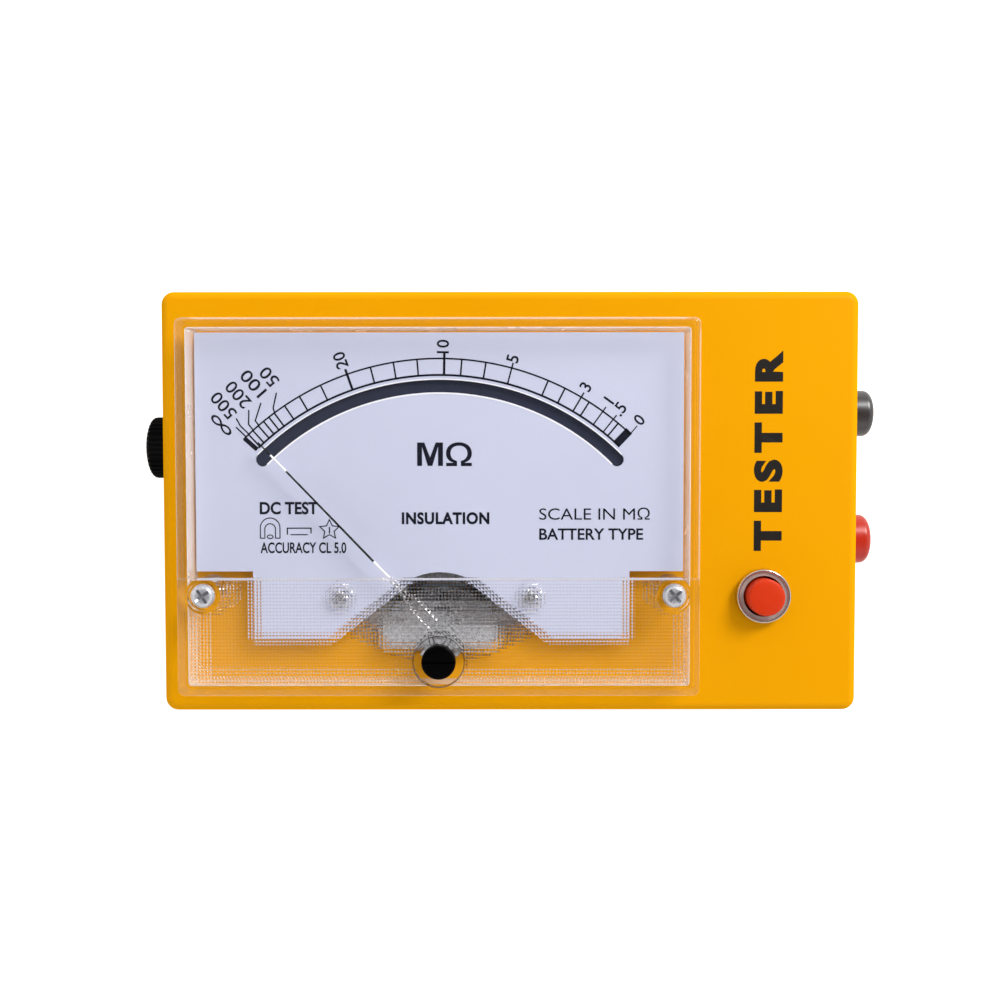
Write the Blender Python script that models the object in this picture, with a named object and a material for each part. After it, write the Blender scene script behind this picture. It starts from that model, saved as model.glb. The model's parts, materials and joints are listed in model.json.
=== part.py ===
"""Battery insulation resistance tester: a yellow box with a clear-fronted moving-coil meter.

Lengths are in millimetres until a mesh is made. +X is right and +Y is up on the dial, and +Z comes
out of the face. The origin is the centre of the rear face, on which the tester rests.
"""

import math

import bmesh
import bpy
from mathutils import Matrix, Vector

MM = 0.001
GAP = 0.3  # clearance between pieces that touch

# Case
CASE_X, CASE_Y, CASE_Z = 173.0, 104.5, 50.0
CASE_CORNER = 3.2
CASE_EDGE = 2.2
WALL = 2.5
PANEL = 3.0
REAR = 3.0
SCREW_X, SCREW_Y = 80.8, 46.6  # the four rear screws
BOSS_R = 3.8
SHANK_R = 1.45
SHANK_HOLE_R = SHANK_R + GAP
CASE_BOTTOM = REAR + GAP
PANEL_UNDER = CASE_Z - PANEL

# Meter: every height from the face outwards
METER_X = -17.2
PIVOT_Y = -32.8
OPENING_Y, OPENING_R = 1.6, 39.5
COVER_X, COVER_Y, COVER_CENTRE_Y = 124.8, 90.2, -0.8
COVER_TOP, COVER_WALL = 62.0, 2.0
BAND_TOP, BAND_EDGE_Y = 61.4, -17.5  # the lower band of the cover lies a step lower
COVER_SCREW_SPREAD, COVER_SCREW_Y = 56.5, -22.0
ADJUSTER_Y = -37.7
ADJUSTER_R, NECK_R, ADJUSTER_RECESS_R = 4.1, 0.9, 5.9
ECCENTRIC = 1.0
DIAL_TOP, DIAL_THICK = 53.5, 0.8
DIAL_LEFT, DIAL_RIGHT, DIAL_HIGH, DIAL_LOW = -76.8, 42.3, 41.5, -16.7
TAB_LEFT, TAB_RIGHT, TAB_LOW = -63.0, 29.2, -33.5
NOTCH_R, NOTCH_HALF = 15.9, 26.5
DIAL_SCREWS_X, DIAL_SCREW_Y = (-41.5, 5.1), -23.0
SLOT_R, SLOT_WIDTH, SLOT_HALF_ANGLE = 61.3, 3.4, 44.9
POINTER_REST = 42.4  # degrees anticlockwise of straight up
POINTER_TIP_R = 64.3
POINTER_Z = 57.0
FRAME_Z, FRAME_THICK, FRAME_R = 44.0, 1.5, 40.5
WINDOW_HALF_X, WINDOW_LOW, WINDOW_HIGH = 17.0, -25.3, -14.3  # cut through the frame above the coil
EAR_X = 43.8
RING_LOW, RING_HIGH, RING_IN, RING_OUT = 22.0, 38.0, 10.5, 15.0
CORE_R = 8.0
PILLAR_X = 12.75
COIL_LOW, COIL_HIGH, COIL_HALF = 18.5, 40.1, 10.0
HUB_LOW, HUB_HIGH = 50.4, 51.4
UPPER_SPRING_LOW, LOWER_SPRING_LOW, SPRING_TALL = 51.8, 16.6, 0.5
BRIDGE_LOW, BRIDGE_HIGH, BRIDGE_HALF_Y = 53.0, 54.0, 2.6
LEVER_LOW, LEVER_HIGH = 54.3, 55.0
STAFF_R = 0.7

# Controls on the face and the walls
BUTTON_X, BUTTON_Y = 62.75, -23.2
BEZEL_R, BARREL_R, CAP_R = 6.7, 5.9, 4.75
WALL_Z = 25.0  # height of the knob and the sockets
KNOB_Y, KNOB_R, KNOB_OUT, FLUTES = 13.9, 8.2, 9.5, 36
BLACK_SOCKET = {"name": "black", "y": 23.0, "radius": 6.15, "out": 10.5}
RED_SOCKET = {"name": "red", "y": -10.9, "radius": 6.55, "out": 10.0}
BORE_R = 2.0

# Supply and circuit
DOOR_LEFT, DOOR_HALF_Y = 22.0, 30.5
CELL_R, CELL_LENGTH, CELL_PITCH, CELLS = 7.1, 50.2, 14.4, 4
HOLDER_LEFT, HOLDER_RIGHT, HOLDER_HALF_Y = 22.5, 82.5, 29.2
HOLDER_TOP = 19.3
BOARD_LEFT, BOARD_RIGHT, BOARD_LOW, BOARD_HIGH = -60.0, 16.0, 4.0, 46.0
BOARD_Z, BOARD_THICK = 8.0, 1.6
POST_INSET = 4.0
WIRE_R = 0.8


# Materials

def finish(name, colour, roughness, metallic=0.0):
    made = bpy.data.materials.new(name)
    made.use_nodes = True
    shader = made.node_tree.nodes["Principled BSDF"]
    shader.inputs["Base Color"].default_value = (*colour, 1.0)
    shader.inputs["Roughness"].default_value = roughness
    shader.inputs["Metallic"].default_value = metallic
    made.diffuse_color = (*colour, 1.0)
    return made


for startup_object in list(bpy.data.objects):
    bpy.data.objects.remove(startup_object, do_unlink=True)

YELLOW = finish("yellow_abs", (0.92, 0.40, 0.01), 0.35)
CLEAR = finish("clear_acrylic", (0.90, 0.92, 0.94), 0.05)
WHITE = finish("dial_white", (0.62, 0.64, 0.77), 0.45)
MIRROR = finish("dial_mirror", (0.04, 0.04, 0.06), 0.05, 1.0)
BLACK = finish("black_plastic", (0.01, 0.01, 0.01), 0.35)
RED = finish("red_plastic", (0.62, 0.05, 0.01), 0.3)
CHROME = finish("chrome", (0.80, 0.80, 0.82), 0.08, 1.0)
STEEL = finish("zinc_steel", (0.66, 0.66, 0.66), 0.3, 1.0)
ALUMINIUM = finish("aluminium", (0.60, 0.60, 0.60), 0.35, 1.0)
IRON = finish("soft_iron", (0.25, 0.25, 0.26), 0.5, 1.0)
BRASS = finish("brass", (0.75, 0.55, 0.22), 0.3, 1.0)
COPPER = finish("enamelled_copper", (0.50, 0.16, 0.05), 0.35, 0.6)
GREEN = finish("circuit_board", (0.02, 0.16, 0.06), 0.4)
SLEEVE = finish("cell_sleeve", (0.05, 0.10, 0.35), 0.35)


# Solids

def add(name, mesh_data, material, smooth_angle=32.0):
    bmesh.ops.recalc_face_normals(mesh_data, faces=mesh_data.faces)
    mesh = bpy.data.meshes.new(name)
    mesh_data.to_mesh(mesh)
    mesh_data.free()
    if material is not None:
        mesh.materials.append(material)
    mesh.shade_smooth()
    mesh.set_sharp_from_angle(angle=math.radians(smooth_angle))
    made = bpy.data.objects.new(name, mesh)
    bpy.context.scene.collection.objects.link(made)
    return made


def helper(made):
    """Marks a solid that only cuts or joins, so it isn't a piece of its own."""
    made.hide_render = True
    made.display_type = "WIRE"
    return made


def loft(name, sections, material=None):
    """A closed solid through outlines with equal counts of points: sections of (points, z)."""
    mesh_data = bmesh.new()
    rings = []
    for points, z in sections:
        rings.append([mesh_data.verts.new((x * MM, y * MM, z * MM)) for x, y in points])
    for low, high in zip(rings, rings[1:]):
        for i, corner in enumerate(low):
            j = (i + 1) % len(low)
            mesh_data.faces.new((corner, low[j], high[j], high[i]))
    mesh_data.faces.new(list(reversed(rings[0])))
    mesh_data.faces.new(rings[-1])
    return add(name, mesh_data, material)


def prism(name, points, low, high, material=None):
    return loft(name, [(points, low), (points, high)], material)


def turned(name, profile, material=None, sides=20, hollow=False):
    """A solid of revolution about Z through (radius, z) points; a hollow profile is a closed loop."""
    mesh_data = bmesh.new()
    rings = []
    for radius, z in profile:
        count = sides if radius > 0 else 1
        ring = []
        for i in range(count):
            angle = 2 * math.pi * i / sides
            place = (radius * math.cos(angle) * MM, radius * math.sin(angle) * MM, z * MM)
            ring.append(mesh_data.verts.new(place))
        rings.append(ring)
    pairs = list(zip(rings, rings[1:]))
    if hollow:
        pairs.append((rings[-1], rings[0]))
    for first, second in pairs:
        for i in range(sides):
            j = (i + 1) % sides
            corners = [first[i % len(first)], first[j % len(first)]]
            corners += [second[j % len(second)], second[i % len(second)]]
            distinct = list(dict.fromkeys(corners))
            if len(distinct) > 2:
                mesh_data.faces.new(distinct)
    return add(name, mesh_data, material)


def rod(name, radius, low, high, material=None, sides=16):
    return turned(name, [(0, high), (radius, high), (radius, low), (0, low)], material, sides)


def tube(name, inner, outer, low, high, material=None, sides=20):
    profile = [(outer, high), (outer, low), (inner, low), (inner, high)]
    return turned(name, profile, material, sides, hollow=True)


def block(name, low, high, material=None):
    (x0, y0, z0), (x1, y1, z1) = low, high
    return prism(name, [(x0, y0), (x1, y0), (x1, y1), (x0, y1)], z0, z1, material)


def rounded_outline(x0, y0, x1, y1, radius, steps=4):
    points = []
    corners = ((x1, y1, 0), (x0, y1, 90), (x0, y0, 180), (x1, y0, 270))
    for x, y, start in corners:
        centre_x = x - radius if x == x1 else x + radius
        centre_y = y - radius if y == y1 else y + radius
        for i in range(steps + 1):
            angle = math.radians(start + 90 * i / steps)
            points.append((centre_x + radius * math.cos(angle), centre_y + radius * math.sin(angle)))
    return points


def rounded_block(name, low, high, corner, material=None, top_edge=0.0, bottom_edge=0.0, steps=3):
    """A block with rounded upright corners whose top and bottom edges can be rounded too."""
    (x0, y0, z0), (x1, y1, z1) = low, high
    inset_heights = []
    if bottom_edge:
        for i in range(steps + 1):
            angle = math.radians(90 * i / steps)
            inset = bottom_edge * (1 - math.sin(angle))
            inset_heights.append((inset, z0 + bottom_edge * (1 - math.cos(angle))))
    else:
        inset_heights.append((0.0, z0))
    if top_edge:
        for i in range(steps + 1):
            angle = math.radians(90 * i / steps)
            inset = top_edge * (1 - math.cos(angle))
            inset_heights.append((inset, z1 - top_edge * (1 - math.sin(angle))))
    else:
        inset_heights.append((0.0, z1))
    sections = []
    for inset, z in inset_heights:
        outline = rounded_outline(x0 + inset, y0 + inset, x1 - inset, y1 - inset, corner - inset)
        sections.append((outline, z))
    return loft(name, sections, material)


def arc(centre_x, centre_y, radius, start, end, steps):
    """Points on an arc, with angles in degrees from +X."""
    points = []
    for i in range(steps + 1):
        angle = math.radians(start + (end - start) * i / steps)
        points.append((centre_x + radius * math.cos(angle), centre_y + radius * math.sin(angle)))
    return points


def hexagon(across_flats):
    return arc(0, 0, across_flats / math.sqrt(3), 0, 300, 5)


def moved(made, x=0.0, y=0.0, z=0.0):
    made.location = Vector((x, y, z)) * MM
    return made


def boolean(target, operand, operation):
    helper(operand)
    modifier = target.modifiers.new(operation.lower(), "BOOLEAN")
    modifier.operation = operation
    modifier.solver = "EXACT"
    modifier.object = operand


def cut(target, *cutters):
    for cutter in cutters:
        boolean(target, cutter, "DIFFERENCE")
    return target


def unite(target, *additions):
    for addition in additions:
        boolean(target, addition, "UNION")
    return target


def drill(target, radius, low, high, x=0.0, y=0.0, sides=12):
    """Cuts a round hole along Z."""
    return cut(target, moved(rod("drill_" + target.name, radius, low, high, sides=sides), x, y))


def lying(made, x, y, z, towards):
    """Lays a piece that was built along +Z along X instead, pointing to towards (+1 or -1)."""
    made.rotation_euler = (0, math.radians(90 * towards), 0)
    return moved(made, x, y, z)


def screw(name, x, y, head_z, length, head_r=3.0, shank_r=SHANK_R, down=1):
    """A cross-head pan screw whose head seats at head_z; down is 1 when it points to -Z."""
    rise = 0.62 * head_r
    profile = [
        (0, rise),
        (0.72 * head_r, 0.8 * rise),
        (head_r, 0),
        (shank_r, 0),
        (shank_r, -length),
        (0, -length),
    ]
    made = turned(name, profile, STEEL, sides=12)
    arm, half, floor = 0.62 * head_r, 0.16 * head_r, 0.30 * rise
    for end_x, end_y in ((arm, half), (half, arm)):
        recess = block("recess_" + name, (-end_x, -end_y, floor), (end_x, end_y, rise + 1))
        recess.parent = made
        cut(made, recess)
    if down < 0:
        made.rotation_euler = (math.pi, 0, 0)
    return moved(made, x, y, head_z)


def helix(name, radius, wire, low, high, turns, material, per_turn=8):
    """A coil spring as a round wire about Z."""
    curve = bpy.data.curves.new(name, "CURVE")
    curve.dimensions = "3D"
    curve.bevel_depth = wire * MM
    curve.bevel_resolution = 0
    curve.use_fill_caps = True
    spline = curve.splines.new("POLY")
    count = turns * per_turn + 1
    spline.points.add(count - 1)
    for i in range(count):
        angle = 2 * math.pi * i / per_turn
        z = low + wire + (high - low - 2 * wire) * i / (count - 1)
        place = (radius * math.cos(angle) * MM, radius * math.sin(angle) * MM, z * MM, 1.0)
        spline.points[i].co = place
    curve.materials.append(material)
    made = bpy.data.objects.new(name, curve)
    bpy.context.scene.collection.objects.link(made)
    return made


def smooth_route(route, spacing):
    """Points about spacing apart on a smooth curve through the route's own points."""
    points = [Vector(point) for point in route]
    padded = [2 * points[0] - points[1], *points, 2 * points[-1] - points[-2]]
    smooth = []
    for before, start, end, after in zip(padded, padded[1:], padded[2:], padded[3:]):
        count = max(2, round((end - start).length / spacing))
        for i in range(count):
            t = i / count
            linear = (end - before) * t
            square = (2 * before - 5 * start + 4 * end - after) * t**2
            cube = (3 * start - 3 * end + after - before) * t**3
            smooth.append(0.5 * (2 * start + linear + square + cube))
    smooth.append(points[-1])
    return smooth


def wire(name, route, material):
    curve = bpy.data.curves.new(name, "CURVE")
    curve.dimensions = "3D"
    curve.bevel_depth = WIRE_R * MM
    curve.bevel_resolution = 2
    curve.use_fill_caps = True
    places = smooth_route(route, spacing=6 * WIRE_R)
    spline = curve.splines.new("POLY")
    spline.points.add(len(places) - 1)
    for point, place in zip(spline.points, places):
        point.co = (*(place * MM), 1.0)
    curve.materials.append(material)
    made = bpy.data.objects.new(name, curve)
    bpy.context.scene.collection.objects.link(made)
    return made


# Case

def make_front_case():
    half_x, half_y = CASE_X / 2, CASE_Y / 2
    case = rounded_block(
        "front_case",
        (-half_x, -half_y, CASE_BOTTOM),
        (half_x, half_y, CASE_Z),
        CASE_CORNER,
        YELLOW,
        top_edge=CASE_EDGE,
    )
    hollow = rounded_block(
        "case_hollow",
        (-half_x + WALL, -half_y + WALL, 0),
        (half_x - WALL, half_y - WALL, PANEL_UNDER),
        CASE_CORNER - WALL + 0.5,
    )
    cut(case, hollow)
    overlap = 0.4
    for side_x in (-1, 1):
        for side_y in (-1, 1):
            low = CASE_BOTTOM + 0.1
            corner_boss = rod("corner_boss", BOSS_R, low, PANEL_UNDER + overlap, sides=12)
            unite(case, moved(corner_boss, side_x * SCREW_X, side_y * SCREW_Y))
        cover_boss = rod("cover_boss", BOSS_R, 34.0, PANEL_UNDER + overlap, sides=12)
        unite(case, moved(cover_boss, METER_X + side_x * COVER_SCREW_SPREAD, COVER_SCREW_Y))
        low = FRAME_Z + FRAME_THICK + GAP
        frame_boss = rod("frame_boss", BOSS_R, low, PANEL_UNDER + overlap, sides=12)
        unite(case, moved(frame_boss, METER_X + side_x * EAR_X, OPENING_Y))
    for side_x in (-1, 1):
        for side_y in (-1, 1):
            drill(case, SHANK_HOLE_R, 0, 20, side_x * SCREW_X, side_y * SCREW_Y)
        cover_screw_x = METER_X + side_x * COVER_SCREW_SPREAD
        drill(case, SHANK_HOLE_R, 36, CASE_Z + 1, cover_screw_x, COVER_SCREW_Y)
        drill(case, SHANK_HOLE_R, 40, 49, METER_X + side_x * EAR_X, OPENING_Y, sides=16)
    drill(case, OPENING_R, 46, CASE_Z + 1, METER_X, OPENING_Y, sides=48)
    drill(case, BARREL_R + GAP, 46, CASE_Z + 1, BUTTON_X, BUTTON_Y, sides=24)
    shaft_hole = rod("shaft_hole", 4.3, -10, 10)
    cut(case, lying(shaft_hole, -half_x, KNOB_Y, WALL_Z, -1))
    for socket in (BLACK_SOCKET, RED_SOCKET):
        socket_hole = rod("socket_hole", 4.3, -10, 10)
        cut(case, lying(socket_hole, half_x, socket["y"], WALL_Z, 1))
    return case


def make_rear_cover():
    half_x, half_y = CASE_X / 2, CASE_Y / 2
    cover = rounded_block(
        "rear_cover",
        (-half_x, -half_y, 0),
        (half_x, half_y, REAR),
        CASE_CORNER,
        YELLOW,
        bottom_edge=1.0,
    )
    lip_half_x, lip_out, lip_in = 60.0, half_y - WALL - GAP, half_y - WALL - GAP - 1.6
    for side in (-1, 1):
        low_y, high_y = sorted((side * lip_in, side * lip_out))
        lip = block("rear_lip", (-lip_half_x, low_y, 2.0), (lip_half_x, high_y, 5.4))
        unite(cover, lip)
    for x in (BOARD_LEFT + POST_INSET, BOARD_RIGHT - POST_INSET):
        for y in (BOARD_LOW + POST_INSET, BOARD_HIGH - POST_INSET):
            shoulder = BOARD_Z - GAP
            tip = BOARD_Z + BOARD_THICK + 1.2
            profile = [(0, tip), (1.2, tip), (1.2, shoulder), (3.0, shoulder), (3.0, 2.0), (0, 2.0)]
            unite(cover, moved(turned("board_post", profile, sides=8), x, y))
    opening = block("door_opening", (DOOR_LEFT, -DOOR_HALF_Y, -1), (half_x + 1, DOOR_HALF_Y, 6))
    groove_half_y = DOOR_HALF_Y + 1.3
    groove = block("door_groove", (DOOR_LEFT, -groove_half_y, 0.9), (half_x + 1, groove_half_y, 2.1))
    cut(cover, opening, groove)
    for side_x in (-1, 1):
        for side_y in (-1, 1):
            place = (side_x * SCREW_X, side_y * SCREW_Y)
            drill(cover, SHANK_HOLE_R, -1, 6, *place)
            drill(cover, 3.2, -1, 2.0, *place)
    return cover


def make_battery_door():
    right = CASE_X / 2 - GAP
    left = DOOR_LEFT + GAP
    half_y = DOOR_HALF_Y - GAP
    door = block("battery_door", (left, -half_y, GAP), (right, half_y, 2.7), YELLOW)
    tongue_half_y = DOOR_HALF_Y + 1.0
    tongue = block("door_tongue", (left, -tongue_half_y, 1.2), (right, tongue_half_y, 1.8))
    unite(door, tongue)
    for i in range(5):
        x = right - 18 + 2.4 * i
        cut(door, block("thumb_groove", (x, -9, 0), (x + 1.2, 9, 0.9)))
    return door


def make_rear_screws():
    number = 1
    for side_y in (-1, 1):
        for side_x in (-1, 1):
            name = f"rear_screw_{number}"
            made = screw(name, side_x * SCREW_X, side_y * SCREW_Y, 1.7, 16, head_r=2.5, down=-1)
            made.name = name
            number += 1


# Meter front

def make_meter_cover():
    left, right = METER_X - COVER_X / 2, METER_X + COVER_X / 2
    bottom, top = COVER_CENTRE_Y - COVER_Y / 2, COVER_CENTRE_Y + COVER_Y / 2
    base = CASE_Z + GAP
    cover = rounded_block(
        "meter_cover",
        (left, bottom, base),
        (right, top, COVER_TOP),
        1.6,
        CLEAR,
        top_edge=0.8,
    )
    ceiling = COVER_TOP - COVER_WALL
    inner_low = (left + COVER_WALL, bottom + COVER_WALL, base - 2)
    inner_high = (right - COVER_WALL, top - COVER_WALL, ceiling)
    cut(cover, rounded_block("cover_hollow", inner_low, inner_high, 0.8))
    for side in (-1, 1):
        boss = rod("cover_post", 4.4, base, ceiling + 0.5)
        unite(cover, moved(boss, METER_X + side * COVER_SCREW_SPREAD, COVER_SCREW_Y))
    adjuster_boss = rod("adjuster_boss", 6.2, 57.0, ceiling + 0.5, sides=20)
    unite(cover, moved(adjuster_boss, METER_X, ADJUSTER_Y))
    step = block("band_step", (left - 1, bottom - 1, BAND_TOP), (right + 1, BAND_EDGE_Y, COVER_TOP + 1))
    cut(cover, step)
    for side in (-1, 1):
        place = (METER_X + side * COVER_SCREW_SPREAD, COVER_SCREW_Y)
        drill(cover, SHANK_HOLE_R, base - 1, COVER_TOP, *place)
        drill(cover, 3.6, 59.6, COVER_TOP + 1, *place, sides=16)
    drill(cover, NECK_R + GAP, 50, COVER_TOP, METER_X, ADJUSTER_Y)
    drill(cover, ADJUSTER_RECESS_R, 60.1, COVER_TOP + 1, METER_X, ADJUSTER_Y, sides=24)
    return cover


def make_cover_screws():
    for side, where in ((-1, "left"), (1, "right")):
        x = METER_X + side * COVER_SCREW_SPREAD
        screw(f"cover_screw_{where}", x, COVER_SCREW_Y, 59.6 + GAP, 20)


def dial_outline():
    notch = arc(METER_X, PIVOT_Y, NOTCH_R, 135, 45, 12)
    points = [
        (DIAL_LEFT, DIAL_LOW),
        (TAB_LEFT, DIAL_LOW),
        (TAB_LEFT, TAB_LOW),
        (METER_X - NOTCH_HALF, TAB_LOW),
        *notch,
        (METER_X + NOTCH_HALF, TAB_LOW),
        (TAB_RIGHT, TAB_LOW),
        (TAB_RIGHT, DIAL_LOW),
        (DIAL_RIGHT, DIAL_LOW),
        (DIAL_RIGHT, DIAL_HIGH),
        (DIAL_LEFT, DIAL_HIGH),
    ]
    return points


def arc_band(inner, outer, half_angle, steps, round_ends=False):
    """A band between two radii about the pivot, centred straight up."""
    start, end = 90 - half_angle, 90 + half_angle
    points = arc(METER_X, PIVOT_Y, outer, start, end, steps)
    middle, half_width = (inner + outer) / 2, (outer - inner) / 2
    if round_ends:
        centre = arc(METER_X, PIVOT_Y, middle, end, end, 1)[0]
        points += arc(*centre, half_width, end, end + 180, 6)[1:-1]
    points += arc(METER_X, PIVOT_Y, inner, end, start, steps)
    if round_ends:
        centre = arc(METER_X, PIVOT_Y, middle, start, start, 1)[0]
        points += arc(*centre, half_width, start + 180, start + 360, 6)[1:-1]
    return points


def make_dial():
    under = DIAL_TOP - DIAL_THICK
    dial = prism("dial_plate", dial_outline(), under, DIAL_TOP, WHITE)
    inner, outer = SLOT_R - SLOT_WIDTH / 2, SLOT_R + SLOT_WIDTH / 2
    slot_points = arc_band(inner, outer, SLOT_HALF_ANGLE, 30, round_ends=True)
    cut(dial, prism("dial_slot", slot_points, under - 1, DIAL_TOP + 1))
    for number, x in enumerate(DIAL_SCREWS_X):
        drill(dial, 1.5, under - 1, DIAL_TOP + 1, x, DIAL_SCREW_Y)
        name = "dial_screw_left" if number == 0 else "dial_screw_right"
        screw(name, x, DIAL_SCREW_Y, DIAL_TOP + GAP, 7, head_r=2.7, shank_r=1.15)
    strip = arc_band(inner - 2.5, outer + 2.5, SLOT_HALF_ANGLE + 3, 24)
    prism("dial_mirror", strip, under - GAP - 1.2, under - GAP, MIRROR)


def make_zero_adjuster():
    """The slotted screw in the cover: its eccentric pin reaches down into the lever's fork."""
    head_low, head_high = 60.4, 62.6
    profile = [
        (0, head_high),
        (ADJUSTER_R - 0.4, head_high),
        (ADJUSTER_R, head_high - 0.4),
        (ADJUSTER_R, head_low),
        (NECK_R, head_low),
        (NECK_R, 56.7),
        (2.6, 56.7),
        (2.6, 55.7),
        (0, 55.7),
    ]
    adjuster = turned("zero_adjuster", profile, BLACK, sides=24)
    moved(adjuster, METER_X, ADJUSTER_Y)
    pin = rod("eccentric_pin", 0.6, LEVER_LOW - 0.4, 56.0, sides=8)
    unite(adjuster, moved(pin, METER_X, ADJUSTER_Y - ECCENTRIC))
    slot = block("adjuster_slot", (-5, -0.5, 61.7), (5, 0.5, 64))
    cut(adjuster, moved(slot, METER_X, ADJUSTER_Y))
    return adjuster


# Movement

def at_pivot(made):
    return moved(made, METER_X, PIVOT_Y)


def at_rest_angle(made):
    """Turns a piece of the moving system from straight up to its rest position."""
    made.rotation_euler = (0, 0, math.radians(POINTER_REST))
    return at_pivot(made)


def make_meter_frame():
    """The bright round plate behind the face, with pillars for the dial and the magnet ring."""
    top = FRAME_Z + FRAME_THICK
    ear_half, ear_end = 5.0, EAR_X + 4.5
    ear_angle = math.degrees(math.asin(ear_half / FRAME_R))
    outline = [
        *arc(0, 0, FRAME_R, ear_angle, 180 - ear_angle, 18),
        (-ear_end, ear_half),
        (-ear_end, -ear_half),
        *arc(0, 0, FRAME_R, 180 + ear_angle, 360 - ear_angle, 18),
        (ear_end, -ear_half),
        (ear_end, ear_half),
    ]
    placed = [(METER_X + x, OPENING_Y + y) for x, y in outline]
    frame = prism("meter_frame", placed, FRAME_Z, top, ALUMINIUM)
    for x in DIAL_SCREWS_X:
        pillar = rod("dial_pillar", 2.5, FRAME_Z + 0.5, DIAL_TOP - DIAL_THICK - GAP, sides=10)
        unite(frame, moved(pillar, x, DIAL_SCREW_Y))
    for side in (-1, 1):
        rest = rod("dial_rest", 2.0, FRAME_Z + 0.5, DIAL_TOP - DIAL_THICK - GAP, sides=8)
        unite(frame, moved(rest, METER_X + side * 24, 10))
        hanger = rod("ring_hanger", 1.8, RING_HIGH + GAP, FRAME_Z + 0.5, sides=8)
        unite(frame, moved(hanger, METER_X + side * PILLAR_X, PIVOT_Y))
        lug_x = METER_X + side * 7.2
        lug_low = (lug_x - 2.1, PIVOT_Y + 3.8, FRAME_Z + 0.5)
        unite(frame, block("solder_lug", lug_low, (lug_x + 2.1, PIVOT_Y + 7.4, 46.7)))
        drill(frame, SHANK_HOLE_R, 40, 50, METER_X + side * EAR_X, OPENING_Y)
    window_low = (METER_X - WINDOW_HALF_X, WINDOW_LOW, FRAME_Z - 1)
    window_high = (METER_X + WINDOW_HALF_X, WINDOW_HIGH, top + 2)
    window = block("frame_window", window_low, window_high)
    cut(frame, window)
    drill(frame, 3.0, 40, 47, METER_X, PIVOT_Y, sides=16)
    for x in DIAL_SCREWS_X:
        drill(frame, 1.45, 46.4, 60, x, DIAL_SCREW_Y, sides=10)
    for side, where in ((-1, "left"), (1, "right")):
        x = METER_X + side * EAR_X
        screw(f"frame_screw_{where}", x, OPENING_Y, FRAME_Z - GAP, 4.6, head_r=2.8, down=-1)
    return frame


def make_bridges():
    upper = block(
        "upper_bridge", (-14, -BRIDGE_HALF_Y, BRIDGE_LOW), (14, BRIDGE_HALF_Y, BRIDGE_HIGH), BRASS
    )
    at_pivot(upper)
    unite(upper, at_pivot(rod("jewel_boss", 2.6, BRIDGE_LOW + 0.2, LEVER_HIGH - 0.1)))
    for side in (-1, 1):
        foot_low = (side * 11.6 - 1.8, -1.8, FRAME_Z + FRAME_THICK + GAP)
        foot = block("bridge_foot", foot_low, (side * 11.6 + 1.8, 1.8, BRIDGE_LOW + 0.5))
        unite(upper, at_pivot(foot))
    drill(upper, 1.8, 50, 57, METER_X, PIVOT_Y)
    lower = block("lower_bridge", (-15, -3, 12.5), (15, 3, 14.0), BRASS)
    at_pivot(lower)
    for side in (-1, 1):
        pillar = moved(rod("bridge_pillar", 1.8, 13, RING_LOW - GAP, sides=8), METER_X, PIVOT_Y)
        pillar.location.x += side * PILLAR_X * MM
        unite(lower, pillar)
    unite(lower, at_pivot(rod("lower_boss", 2.6, 11.2, 13)))
    drill(lower, 1.8, 10, 15, METER_X, PIVOT_Y)


def make_jewel_screws():
    """Slotted screws whose cupped tips hold the pivots."""
    for name, tip, head in (("upper_jewel_screw", 52.7, 55.4), ("lower_jewel_screw", 14.3, 10.4)):
        profile = [(0, head), (1.5, head), (1.5, tip), (0, tip)]
        if head < tip:
            profile.reverse()
        made = at_pivot(turned(name, profile, BRASS, sides=12))
        low, high = sorted((head + (0.5 if head < tip else -0.5), head + (-1 if head < tip else 1)))
        cut(made, at_pivot(block("slot_" + name, (-3, -0.25, low), (3, 0.25, high))))


def make_magnet():
    at_pivot(tube("yoke_ring", RING_IN, RING_OUT, RING_LOW, RING_HIGH, IRON, sides=32))
    at_pivot(rod("core_magnet", CORE_R, RING_LOW, RING_HIGH, IRON, sides=24))
    at_pivot(block("core_support", (-3, -14.5, 20.6), (3, 14.5, RING_LOW - GAP), BRASS))


def make_moving_coil():
    """A rectangular winding that turns in the gap between the core and the ring."""
    half_width = 1.7
    side = 1.65
    roof = 1.6
    outer = [
        (-COIL_HALF, COIL_LOW),
        (COIL_HALF, COIL_LOW),
        (COIL_HALF, COIL_HIGH),
        (-COIL_HALF, COIL_HIGH),
    ]
    coil = prism("moving_coil", outer, -half_width, half_width, COPPER)
    window_low = (-COIL_HALF + side, COIL_LOW + roof, -5)
    window_high = (COIL_HALF - side, COIL_HIGH - roof, 5)
    window = block("coil_window", window_low, window_high)
    cut(coil, window)
    upright = Matrix.Rotation(math.radians(90), 4, "X")
    for made in (coil, window):
        made.data.transform(upright)
    at_rest_angle(coil)
    at_rest_angle(window)
    profile_up = [(0, 52.4), (0.25, 52.0), (STAFF_R, 51.5), (STAFF_R, 40.4), (0, 40.4)]
    at_rest_angle(turned("upper_staff", profile_up, STEEL, sides=8))
    profile_down = [(0, 18.2), (STAFF_R, 18.2), (STAFF_R, 15.6), (0.25, 15.0), (0, 14.6)]
    at_rest_angle(turned("lower_staff", profile_down, STEEL, sides=8))


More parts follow.
